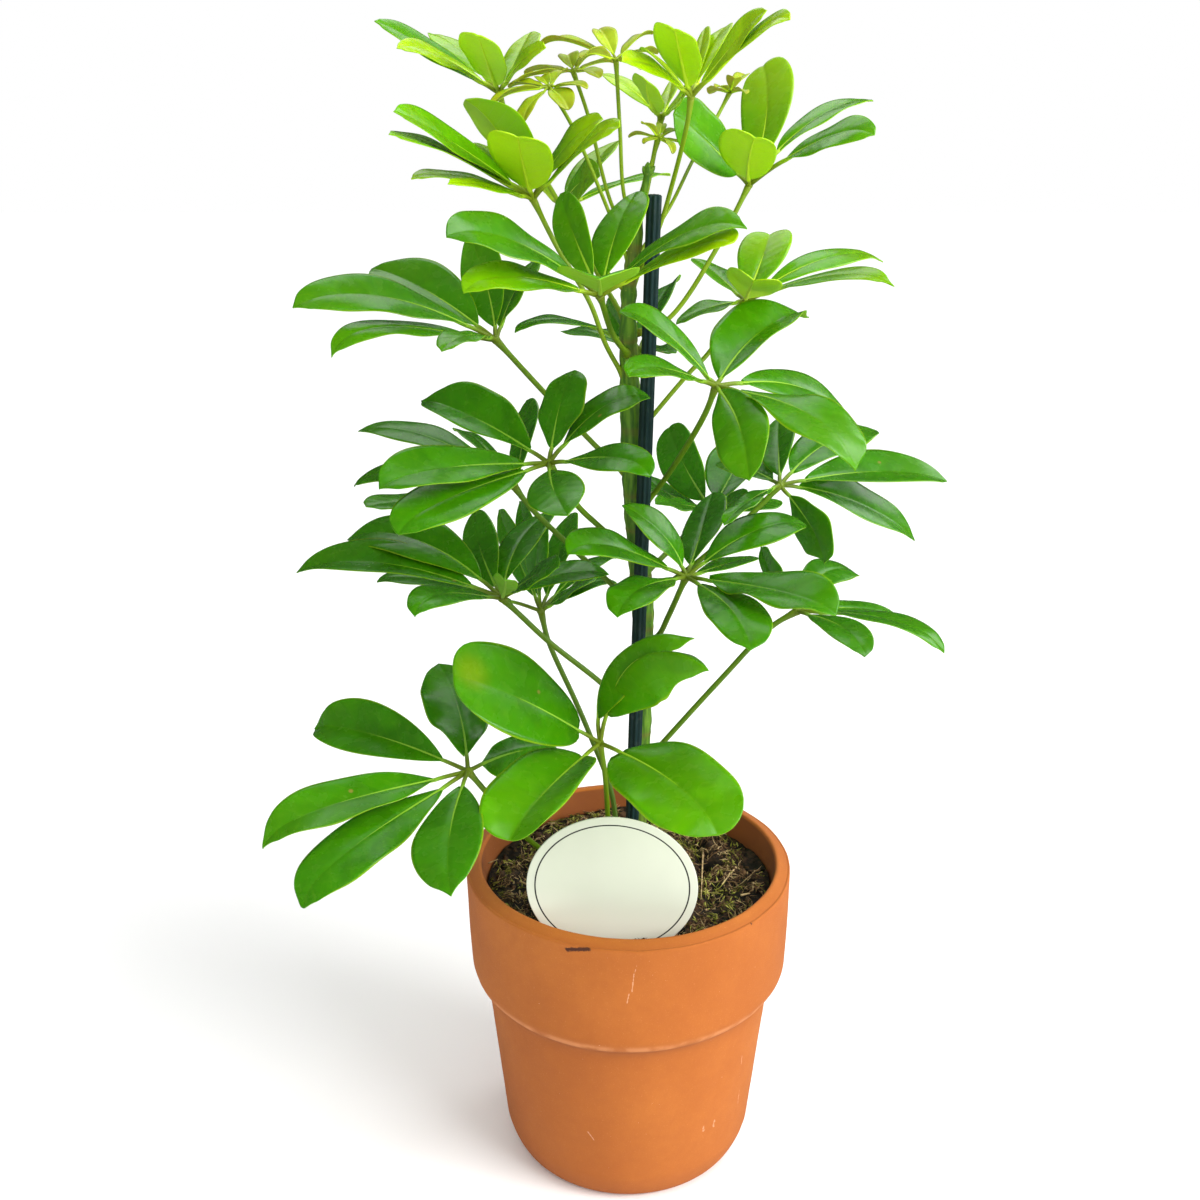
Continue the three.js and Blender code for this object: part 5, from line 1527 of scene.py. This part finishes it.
def swells(draw, at, side, share, half, length, age, shape):
    """How far the points of a blade are lifted off its plain form, in mm.

    The sum of a camber, a groove along the midrib, pillows between the side veins, a ripple that
    grows towards the margin, the turn of the tip, and a fold along the midrib of young leaflets.
    """
    young = shape.get("young", 0)
    far = np.abs(side)
    camber = draw.uniform(*CAMBER) * half * (1 - (1 - far) ** 2 - far)
    groove = -GROOVE_DEEP * np.exp(-(side * half / GROOVE_WIDE) ** 2) * (1 - 0.6 * at)
    phase = VEINS * (at - VEIN_SLANT * far)
    pillow = PILLOW_HIGH * np.sin(math.pi * phase) ** 2 * np.sin(math.pi * far) ** 0.5 * (1 - young)
    count = draw.uniform(1.2, 2.6, 2)
    turn = draw.uniform(0, 2 * math.pi, 2)
    depth = shape.get("wave", draw.uniform(0.25, 0.8)) * (0.3 if young else 1.0 - 0.6 * age)
    which = np.where(side > 0, 0, 1)
    ripple = depth * far ** 2.2 * np.sin(2 * math.pi * count[which] * at + turn[which])
    droop = -shape.get("droop", 0.0) * smooth_step(share, 0.6, 1.0) ** 1.6 * length
    droop -= shape.get("hook", draw.uniform(0.0, 0.025)) * smooth_step(share, 0.82, 1.0) ** 1.5 * length
    lift = shape.get("fold", 0.0) * half * far
    return camber + groove + pillow + ripple + droop + lift


# %% [markdown]
# The sheet is two grids, one for each side of the blade, with a wall round the margin. The leaflet's
# own stalk runs on under it as a rib.

# %% Leaflet sheet
EDGE_THICK = 0.22
MIDDLE_THICK = 0.5
BLADE_FOOT = 0.012
ROUND_END, LONG_END, TIP_LIMIT = 0.86, 0.93, 0.998
ROW_EASE, COLUMN_EASE = 1.25, 1.3
DRIP_TIP, NOTCH_REACH = -0.03, 0.35
LEAST_HALF = 0.6
MIDRIB_SOFT = 0.12
RIB_RADII = np.array([0.95, 0.8, 0.45, 0.16])
RIB_OFF = 0.12


def closed_sheet(top, bottom, across, along, age, tone):
    """A thin closed sheet from the grids of its two sides, with a wall round the edge.

    Each point carries its age, the leaflet's own tone, and 0 on the upper side or 1 on the lower.
    """
    rows, columns = top.shape[:2]
    size = rows * columns
    faces = grid_faces(rows, columns)
    rim = np.concatenate([
        np.arange(columns),
        np.arange(1, rows) * columns + columns - 1,
        (rows - 1) * columns + np.arange(columns - 2, -1, -1),
        np.arange(rows - 2, 0, -1) * columns,
    ])
    following = np.roll(rim, -1)
    walls = np.stack([following, rim, rim + size, following + size], axis=-1)
    return patch(
        np.concatenate([top.reshape(-1, 3), bottom.reshape(-1, 3)]),
        [faces, faces[:, ::-1] + size, walls],
        across=np.tile(across.ravel(), 2), along=np.tile(along.ravel(), 2),
        kind=(age, tone, np.repeat([0.0, 1.0], size)),
    )


def leaflet_rib(midrib, share, bottom, up, start, age, young):
    """The leaflet's own stalk, which runs on under the blade as a rib.

    Its line is the middle line before the blade's foot and the sheet's lower side after it, and it
    carries the share between them.
    """
    middle = share.shape[1] // 2
    foot = np.linspace(0.0, start, 6, endpoint=False)
    rib_share = np.concatenate([foot, np.linspace(start, share[-3, middle], 22)])
    row = np.interp(rib_share, share[:, middle], np.arange(len(share)), left=0)
    low = np.floor(row).astype(int).clip(0, len(share) - 2)
    step = (row - low)[:, None]
    under = bottom[low, middle] * (1 - step) + bottom[low + 1, middle] * step
    under += up[low, middle] * RIB_OFF
    on_blade = smooth_step(rib_share, start * 0.55, start * 1.15)
    path = midrib(rib_share) * (1 - on_blade[:, None]) + under * on_blade[:, None]
    radii = np.interp(rib_share, [0.0, start, 0.55, 1.0], RIB_RADII * (0.6 if young else 1.0))
    sides = 6 if young else 8
    on_blade = np.concatenate([np.repeat(on_blade, sides), on_blade[[0, -1]]])
    return rod(path, radii, sides, kind=(age, 1.0, on_blade), look=1)


def leaflet(hub, axis, row, draw, age, rows, columns):
    """A leaflet's sheet and its rib, as patches.

    A point of the sheet is the middle line at a share of the length, plus a share of the half width
    on its side, plus swells along the sheet's normal. The share of the length runs from the blade's
    foot to the tip, and is larger at the midrib than at the edges near the tip, by an arc. The two
    half widths may lean differently, so their mean folds the blade softly along its midrib.
    """
    length, shape = row[4], row[7]
    midrib, halves = leaflet_lines(hub, axis, row)
    young = shape.get("young", 0)
    age = shape.get("age", age)
    start = shape.get("stalk", SPOKE_SHARE)
    end = ROUND_END if shape.get("round") else LONG_END
    step = np.linspace(0.0, 1.0, rows)
    at = BLADE_FOOT + (end - BLADE_FOOT) * (1 - (1 - step) ** ROW_EASE)
    ease = np.linspace(-1.0, 1.0, columns)
    side = np.sign(ease) * np.abs(ease) ** COLUMN_EASE
    far = np.abs(side)
    half_wide = (np.linalg.norm(halves[0]) + np.linalg.norm(halves[1])) / 2
    wide = np.sqrt(spread(at, shape) ** 2 + (LEAST_HALF / half_wide) ** 2)
    arc = tip_arc(at, side, wide, half_wide, length * (1 - start))
    at = at[:, None]
    cut = shape.get("notch", 0.0 if shape.get("round") or young else DRIP_TIP)
    notch = cut * (1 - far) ** (1.6 if cut > 0 else 3.0) * smooth_step(at, end - NOTCH_REACH, end)
    arc_top = end + arc[columns // 2] + max(-cut, 0.0)
    share = start + (1 - start) * (at + arc * (at / end) ** 4 - notch) * min(1.0, TIP_LIMIT / arc_top)
    ahead = heading_at(midrib, share)
    lean = [square_to(np.broadcast_to(half, ahead.shape), ahead) * np.linalg.norm(half) for half in halves]
    even, fold = (lean[0] - lean[1]) / 2, (lean[0] + lean[1]) / 2
    soft = MIDRIB_SOFT
    bent = (np.sqrt(side ** 2 + soft ** 2) - soft) / (math.sqrt(1 + soft ** 2) - soft)
    top = midrib(share) + wide[:, None, None] * (side[:, None] * even + bent[:, None] * fold)
    up = unit(np.cross(even, ahead))
    half = half_wide * wide[:, None]
    top = top + up * swells(draw, at, side, share, half, length, age, shape)[..., None]
    thick = (EDGE_THICK + (MIDDLE_THICK - EDGE_THICK) * (1 - far ** 2)) * (0.7 if young else 1.0)
    bottom = top - up * thick[:, None]
    across, along = 0.5 + 0.5 * side + 0 * share, at / end + 0 * share
    sheet = closed_sheet(top, bottom, across, along, age, draw.uniform())
    return [sheet, leaflet_rib(midrib, share, bottom, up, start, age, young)]


# %% [markdown]
# A leaf's stalk runs from the stem, or from the peat, past the sights where the picture shows it, up
# to the hub. Its depth between them comes from the straight way, because a stalk is nearly straight.

# %% Stalk
STALK_THIN = 1.15
STALK_HUB = 1.7
STALK_ROOT = 2.1
KNOT = 1.9
STALK_SIDES, STALK_POINTS, KNOT_POINTS = 12, 46, 9
STALK_BURIED, ROOT_SUNK = 14.0, 1.1
ROOT_REACH, HUB_REACH = 3.6, 4.0


def nearest_on_sight(sight, start, stop):
    """The point of a sight nearest to the straight stretch between two places.

    Both lines' shares come from the two equations that make their link square to each of them.
    """
    ray = unit(sight_line(sight))
    reach = stop - start
    away = start - EYE
    b, e = np.dot(ray, reach), np.dot(reach, reach)
    share = (b * np.dot(ray, away) - np.dot(reach, away)) / max(e - b * b, 1e-9)
    place = start + reach * min(max(share, 0.0), 1.0)
    return EYE + ray * np.dot(place - EYE, ray)


def stalk(leaf, hub, age, size=1.0):
    """A leaf's stalk from its swollen root at the stem, or from the peat, to the knot at its hub."""
    rooted = "root" in leaf
    root = stem_at(leaf["root"]) if rooted else np.array([*leaf["soil"], SOIL_TOP])
    passed = [
        at_setback(sight, sight[2]) if len(sight) == 3 else nearest_on_sight(sight, hub, root)
        for sight in leaf["via"]
    ]
    ends = [root] if rooted else [root, root - (0, 0, STALK_BURIED)]
    path = smooth_path([hub, *passed, *ends][::-1], STALK_POINTS)
    if rooted:
        gap = np.linalg.norm(path - root, axis=-1)
        path = path[gap > stem_radius(leaf["root"]) - ROOT_SUNK]
    travelled = travelled_along(path)
    left = travelled[-1] - travelled
    radii = STALK_THIN + (STALK_ROOT - STALK_THIN) * np.exp(-(travelled / ROOT_REACH) ** 2) * rooted
    radii = (radii + (STALK_HUB - STALK_THIN) * np.exp(-(left / HUB_REACH) ** 2)) * size
    share = np.concatenate([np.repeat(travelled / travelled[-1], STALK_SIDES), [0.0, 1.0]])
    bead = np.linspace(-1.0, 1.0, KNOT_POINTS)
    knot_path = hub + unit(path[-1] - path[-3]) * (bead * KNOT * 0.95 * size)[:, None]
    knot_radii = KNOT * size * np.sqrt(1 - (0.97 * bead) ** 2)
    return [
        rod(path, radii, STALK_SIDES, kind=(age, share, 0.0), look=1),
        rod(knot_path, knot_radii, STALK_SIDES, kind=(age, 1.0, 0.0), look=1),
    ]


# %% [markdown]
# ## Leaf finish
#
# A leaf's upper side is waxy: dark green where it is old, bright yellow-green where it is young. Its
# lower side is pale and dull. The midrib is light and the side veins are faint, and the margin is a
# thin pale line. All of that follows the blade, so it reads the blade's own place, while broad
# patches and fine grain read the object's coordinates. A little light goes through a leaf. The
# shader's subsurface scattering stands for that, since it survives in an exported model.

# %% Leaf's upper side
OLD_LEAF, MIDDLE_LEAF, YOUNG_LEAF = colour(54, 124, 0), colour(88, 158, 0), colour(166, 206, 0)


def blade_place(tree):
    """The place on a blade, how far it lies from the midrib towards the edge, and how far along."""
    place = node(tree, "ShaderNodeUVMap", {}, uv_map="place")
    across = maths(tree, "ABSOLUTE", maths(tree, "MULTIPLY_ADD", part(tree, place, "X"), 2.0, -1.0))
    return place, across, part(tree, place, "Y")


leaf_finish, tree, shader = new_finish(
    "waxy_leaf", Subsurface_Weight=0.3, Subsurface_Scale=0.001, Subsurface_Radius=(0.5, 1.0, 0.1),
    Specular_IOR_Level=0.45,
)
here = object_place(tree)
place, across, along = blade_place(tree)
age, tone, under = carried(tree)
broad = stepped(tree, noise(tree, here, 60.0, 1.0), 0.32, 0.68)
youth = plus(tree, age, swing(tree, tone, 0.16))
youth = plus(tree, youth, swing(tree, broad, 0.12))
youth = plus(tree, youth, stepped(tree, along, 0.2, 1.0, -0.08, 0.12))
upper = mixed(tree, stepped(tree, youth, 0.0, 0.5), OLD_LEAF, MIDDLE_LEAF)
upper = mixed(tree, stepped(tree, youth, 0.5, 1.0), upper, YOUNG_LEAF)
upper_shade = mixed(tree, 1.0, upper, colour(196, 210, 170), "MULTIPLY")
upper = mixed(tree, stepped(tree, broad, 0.3, 0.8, 0.0, 0.55), upper, upper_shade)
print("nodes of the upper side's green:", len(tree.nodes))

# %% [markdown]
# The side veins run out from the midrib at a slant. A vein is where the sine of the place along the
# blade, less the slant times the place across it, is near 0. The midrib narrows towards the tip. The
# finest net of veins is a pattern of cells. Old leaves have a few brown specks.

# %% Veins and specks
wander = swing(tree, noise(tree, here, 120.0, 2.0), 0.35)
vein_phase = times(tree, minus(tree, along, times(tree, across, VEIN_SLANT)), float(VEINS))
vein_phase = plus(tree, vein_phase, wander)
from_vein = maths(tree, "ABSOLUTE", maths(tree, "SINE", times(tree, vein_phase, math.pi)))
side_vein = times(tree, stepped(tree, from_vein, 0.2, 0.04), stepped(tree, across, 0.98, 0.7))
rib_wide = stepped(tree, along, 0.0, 0.9, 0.019, 0.006)
rib = stepped(tree, maths(tree, "DIVIDE", across, rib_wide), 1.25, 0.55)
margin = stepped(tree, across, 0.945, 0.985)
net = {"Vector": here, "Scale": 900.0}
netted = stepped(tree, node(tree, "ShaderNodeTexVoronoi", net, 0, feature="DISTANCE_TO_EDGE"), 0.12, 0.02)
mottle = stepped(tree, noise(tree, here, 300.0, 3.0, 0.6), 0.48, 0.72)
light_green = mixed(tree, age, colour(122, 172, 30), colour(184, 208, 30))
for mask, strength in ((side_vein, 0.06), (netted, 0.05), (rib, 0.22), (mottle, 0.08)):
    upper = tinted(tree, upper, mask, strength, light_green)
upper = tinted(tree, upper, margin, 0.45, colour(160, 186, 20))
cells = {"Vector": here, "Scale": 85.0}
speck, chance = [node(tree, "ShaderNodeTexVoronoi", cells, output, feature="F1") for output in (0, 1)]
rare = stepped(tree, node(tree, "ShaderNodeSeparateColor", {0: chance}), 0.93, 0.95)
speck = times(tree, stepped(tree, speck, 0.1, 0.05), rare)
speck = times(tree, speck, stepped(tree, age, 0.3, 0.1))
upper = tinted(tree, upper, speck, 0.7, colour(150, 128, 62))
print("nodes with veins and specks:", len(tree.nodes))

# %% [markdown]
# One old leaflet low in front has a dry yellow patch near its tip. Its place is found on the sight
# through its middle, a little back from the tip.

# %% Dry patch, lower side and wax
DRY_LEAF, DRY_SIGHT, DRY_BACK = LEAVES["leaf_low_front"], (471, 671), 0.14
DRY_REACH, DRY_HEART, DRY_STRENGTH = 0.011, 0.002, 0.22
tip, _, _, _, length, _, lean, _ = leaflet_row(DRY_LEAF["blades"][0])
dry_hub = at_depth(DRY_LEAF["hub"], DRY_LEAF["hub"][2])
dry_tip = at_distance(dry_hub, tip, length, lean)
dry_place = tuple(nearest_to(dry_tip + (dry_hub - dry_tip) * DRY_BACK, DRY_SIGHT) * MM)
away_from_dry = vector_maths(tree, "DISTANCE", here, dry_place, output="Value")
dry = stepped(tree, away_from_dry, DRY_REACH, DRY_HEART, 0.0, DRY_STRENGTH)
upper = mixed(tree, dry, upper, colour(164, 150, 8))

lower = mixed(tree, age, colour(112, 168, 20), colour(184, 226, 0))
lower = tinted(tree, lower, side_vein, 0.25, colour(172, 204, 84))
lower = tinted(tree, lower, netted, 0.1, colour(96, 144, 30))
tree.links.new(mixed(tree, under, upper, lower), shader["Base Color"])
wax = stepped(tree, noise(tree, here, 150.0, 3.0), 0.3, 0.7, 0.22, 0.3)
tree.links.new(plus(tree, wax, times(tree, under, 0.25)), shader["Roughness"])
print("dry patch in mm:", (np.array(dry_place) / MM).round(1))

# %% [markdown]
# The relief is made of sunk side veins, shallow folds along the blade and fine pores. It fades where
# a blade is seen edge-on, since it would glitter there.

# %% Leaf's relief
own_start = node(tree, "ShaderNodeVectorMath", {0: here, "Scale": 12.0}, operation="SCALE")
folds = vector_maths(tree, "ADD", stretched(tree, place, (7.0, 1.6, 1.0)), own_start)
folds = noise(tree, folds, 1.0, 1.0)
relief = plus(tree, times(tree, side_vein, -0.12), times(tree, folds, 1.6))
pores = grouped(tree, grain, {"Place": here, "Coarse": 300.0, "Fine": 900.0}, "Height")
relief = plus(tree, relief, times(tree, pores, 0.1))
edge_on = node(tree, "ShaderNodeLayerWeight", {"Blend": 0.5}, "Facing")
strength = stepped(tree, edge_on, 0.35, 0.7, 0.7, 0.03)
tree.links.new(bumped(tree, relief, 0.00008, strength), shader["Normal"])
print("nodes of the leaf finish:", len(tree.nodes))

# %% [markdown]
# Leaf stalks are a lighter green, with a brown-red blush at the hub and where they join the stem.
# The same finish covers the small stalks of the leaflets and runs out as a pale rib under them.

# %% Stalk finish
stalk_finish, tree, shader = new_finish("green_stalk", Roughness=0.42)
here = object_place(tree)
age, along, on_blade = carried(tree)
green = mixed(tree, age, colour(82, 120, 4), colour(132, 164, 10))
green = tinted(tree, green, clouds(tree, here, 220.0), 0.3, colour(112, 140, 14))
blush = plus(tree, stepped(tree, along, 0.94, 1.0, 0.0, 0.22), stepped(tree, along, 0.06, 0.0, 0.0, 0.4))
blush = times(tree, blush, stepped(tree, on_blade, 0.7, 0.0))
green = mixed(tree, blush, green, colour(124, 100, 30))
blade_green = mixed(tree, age, colour(134, 186, 40), colour(204, 238, 30))
tree.links.new(tinted(tree, green, on_blade, 0.9, blade_green), shader["Base Color"])
grained(tree, shader, stretched(tree, here, (1.0, 1.0, 0.2)), 1200.0, 4000.0, 0.0001, 0.6)
print("nodes of the stalk finish:", len(tree.nodes))

# %% [markdown]
# ## Fans of leaflets
#
# Each leaf becomes one piece: its stalk, the knot at its hub and its leaflets. Its age comes from
# the height of its hub, because the plant grows at its tip.

# %% Grown leaves
BLADE_ROWS, BLADE_COLUMNS = 38, 21
AGE_LOW, AGE_HIGH = 330.0, 475.0


def leaf_age(hub):
    """0 for the oldest leaves and 1 for the youngest, by the height of the hub."""
    return float(smooth_step(hub[2], AGE_LOW, AGE_HIGH))


draw = np.random.default_rng(51)
for name, leaf in LEAVES.items():
    hub = at_depth(leaf["hub"], leaf["hub"][2])
    axis = whorl_axis(hub)
    age = leaf.get("age", leaf_age(hub))
    patches = stalk(leaf, hub, age, 1.0 - 0.25 * age)
    for row in leaf["blades"]:
        patches += leaflet(hub, axis, leaflet_row(row), draw, age, BLADE_ROWS, BLADE_COLUMNS)
    make_piece(name.replace("leaf", "fan"), patches, [leaf_finish, stalk_finish], name)

# %% [markdown]
# The young leaves use the same leaflet with fewer rows. They are folded along the midrib and are
# olive with a reddish blush, with a thinner wax.

# %% Young leaf finish
young_finish, tree, shader = new_finish("young_leaf_wax", Subsurface_Weight=0.15, Subsurface_Scale=0.002)
here = object_place(tree)
_, across, along = blade_place(tree)
_, _, under = carried(tree)
cloudy = clouds(tree, here, 160.0)
olive = mixed(tree, cloudy, colour(138, 170, 10), colour(168, 192, 20))
olive = mixed(tree, stepped(tree, along, 0.55, 1.0, 0.0, 0.35), olive, colour(150, 136, 20))
olive = tinted(tree, olive, under, 0.6, colour(166, 180, 62))
olive = mixed(tree, stepped(tree, across, 0.16, 0.04, 0.0, 0.6), olive, colour(190, 204, 70))
tree.links.new(olive, shader["Base Color"])
tree.links.new(stepped(tree, cloudy, 0.0, 1.0, 0.36, 0.46), shader["Roughness"])
grained(tree, shader, here, 900.0, 4500.0, 0.00008, 0.7)
print("nodes of the young finish:", len(tree.nodes))

# %% Young leaves
YOUNG_SIZE = 0.62
YOUNG_ROWS, YOUNG_COLUMNS = 20, 11
for name, leaf in YOUNG_LEAVES.items():
    hub = at_depth(leaf["hub"], leaf["hub"][2])
    axis = whorl_axis(hub)
    patches = stalk(leaf, hub, 1.0, YOUNG_SIZE)
    for *tip, length, width, lean in leaf["blades"]:
        shape = {"young": 1, "fold": draw.uniform(0.15, 0.45), "droop": draw.uniform(0.0, 0.06)}
        row = [tip, None, None, None, length, width, lean, shape]
        patches += leaflet(hub, axis, row, draw, 1.0, YOUNG_ROWS, YOUNG_COLUMNS)
    make_piece(name.replace("young_leaf", "shoot"), patches, [young_finish, stalk_finish], name)

# %% [markdown]
# ## The stem's surface
#
# The bark is green and smooth, with fine lengthwise lines, and turns brownish towards the peat. The
# stem is a rod with a small swelling at each joint and a raised scar below it, and the scars carry
# a number that turns them brown. Two tiny buds close the growing tip.

# %% Stem
joints = sorted(leaf["root"] for leaf in [*LEAVES.values(), *YOUNG_LEAVES.values()] if "root" in leaf)
SCARS = [
    ((617, 290), 1.6), ((632, 285), 1.3), ((612, 365), 1.8), ((633, 440), 1.6), ((613, 475), 1.8),
    ((628, 560), 1.5),
]
STEM_SIDES = 40
JOINT_SWELL, JOINT_WIDE = 0.45, 3.0
SCAR_BELOW, SCAR_SWELL, SCAR_WIDE = 5.5, 0.22, 0.8
SCARS_HIGH, GREEN_FROM_SOIL = 300.0, 120.0
stem_height = stem_path[:, 2]
stem_radii = stem_radius(stem_height)[:, None] * np.ones(STEM_SIDES)
for joint in joints:
    stem_radii += JOINT_SWELL * np.exp(-((stem_height - joint) / JOINT_WIDE) ** 2)[:, None]
    stem_radii += SCAR_SWELL * np.exp(-((stem_height - joint + SCAR_BELOW) / SCAR_WIDE) ** 2)[:, None]
stem_rod = rod(stem_path, stem_radii, STEM_SIDES)
points = stem_rod["points"]
ring = sum(np.exp(-(points[:, 2] - joint + SCAR_BELOW) ** 2) for joint in joints)
marks = 0.5 * np.clip(ring, 0.0, 1.0)
for sight, size in SCARS:
    middle = stem_at(nearest_to(stem_at(SCARS_HIGH), sight)[2])
    place = nearest_to(middle, sight)
    marks += np.exp(-np.sum(((points - place) / (size, size * 1.5, size * 0.8)) ** 2, axis=-1))
stem_rod["kind"][:, 0] = np.clip(marks, 0.0, 1.0)
stem_rod["kind"][:, 1] = np.clip((points[:, 2] - SOIL_TOP) / GREEN_FROM_SOIL, 0.0, 1.0)
print("leaf joints on the stem:", len(joints))

# %% Bark
stem_finish, tree, shader = new_finish("green_bark", Roughness=0.5)
here = object_place(tree)
scarred, greened, _ = carried(tree)
drawn = stretched(tree, here, (1.0, 1.0, 0.12))
lines = noise(tree, drawn, 700.0, 3.0)
bark = mixed(tree, stepped(tree, lines, 0.35, 0.65), colour(60, 106, 10), colour(100, 144, 24))
bark = mixed(tree, stepped(tree, greened, 0.5, 0.0, 0.0, 0.6), bark, colour(112, 104, 52))
pale_dots = stepped(tree, noise(tree, here, 700.0, 2.0), 0.66, 0.74, 0.0, 0.35)
bark = mixed(tree, pale_dots, bark, colour(156, 172, 74))
scar = times(tree, scarred, stepped(tree, noise(tree, here, 500.0), 0.2, 0.6, 0.6, 1.0))
tree.links.new(mixed(tree, scar, bark, colour(124, 92, 46)), shader["Base Color"])
grained(tree, shader, drawn, 900.0, 3000.0, 0.0002, 0.7)
print("nodes of the bark:", len(tree.nodes))

# %% Buds
BUDS = [((648, 162), 5.0, 1.5), ((655, 166), 3.5, 1.1), ((643, 166), 3.5, 1.1)]
BUD_POINTS, BUD_SIDES = 12, 14
patches = [stem_rod]
for sight, long, thick in BUDS:
    foot = stem_path[-3]
    tip = nearest_to(stem_path[-1] + np.array([0.0, 0.0, long]), sight)
    path = foot + (tip - foot) * np.linspace(0.0, 1.0, BUD_POINTS)[:, None]
    plump = np.sin(math.pi * np.linspace(0.12, 0.97, BUD_POINTS)) ** 0.8
    bud = rod(path, thick * plump, BUD_SIDES)
    bud["kind"][:, 1] = 1.0
    patches.append(bud)
make_piece("green_stem", patches, [stem_finish], "stem")
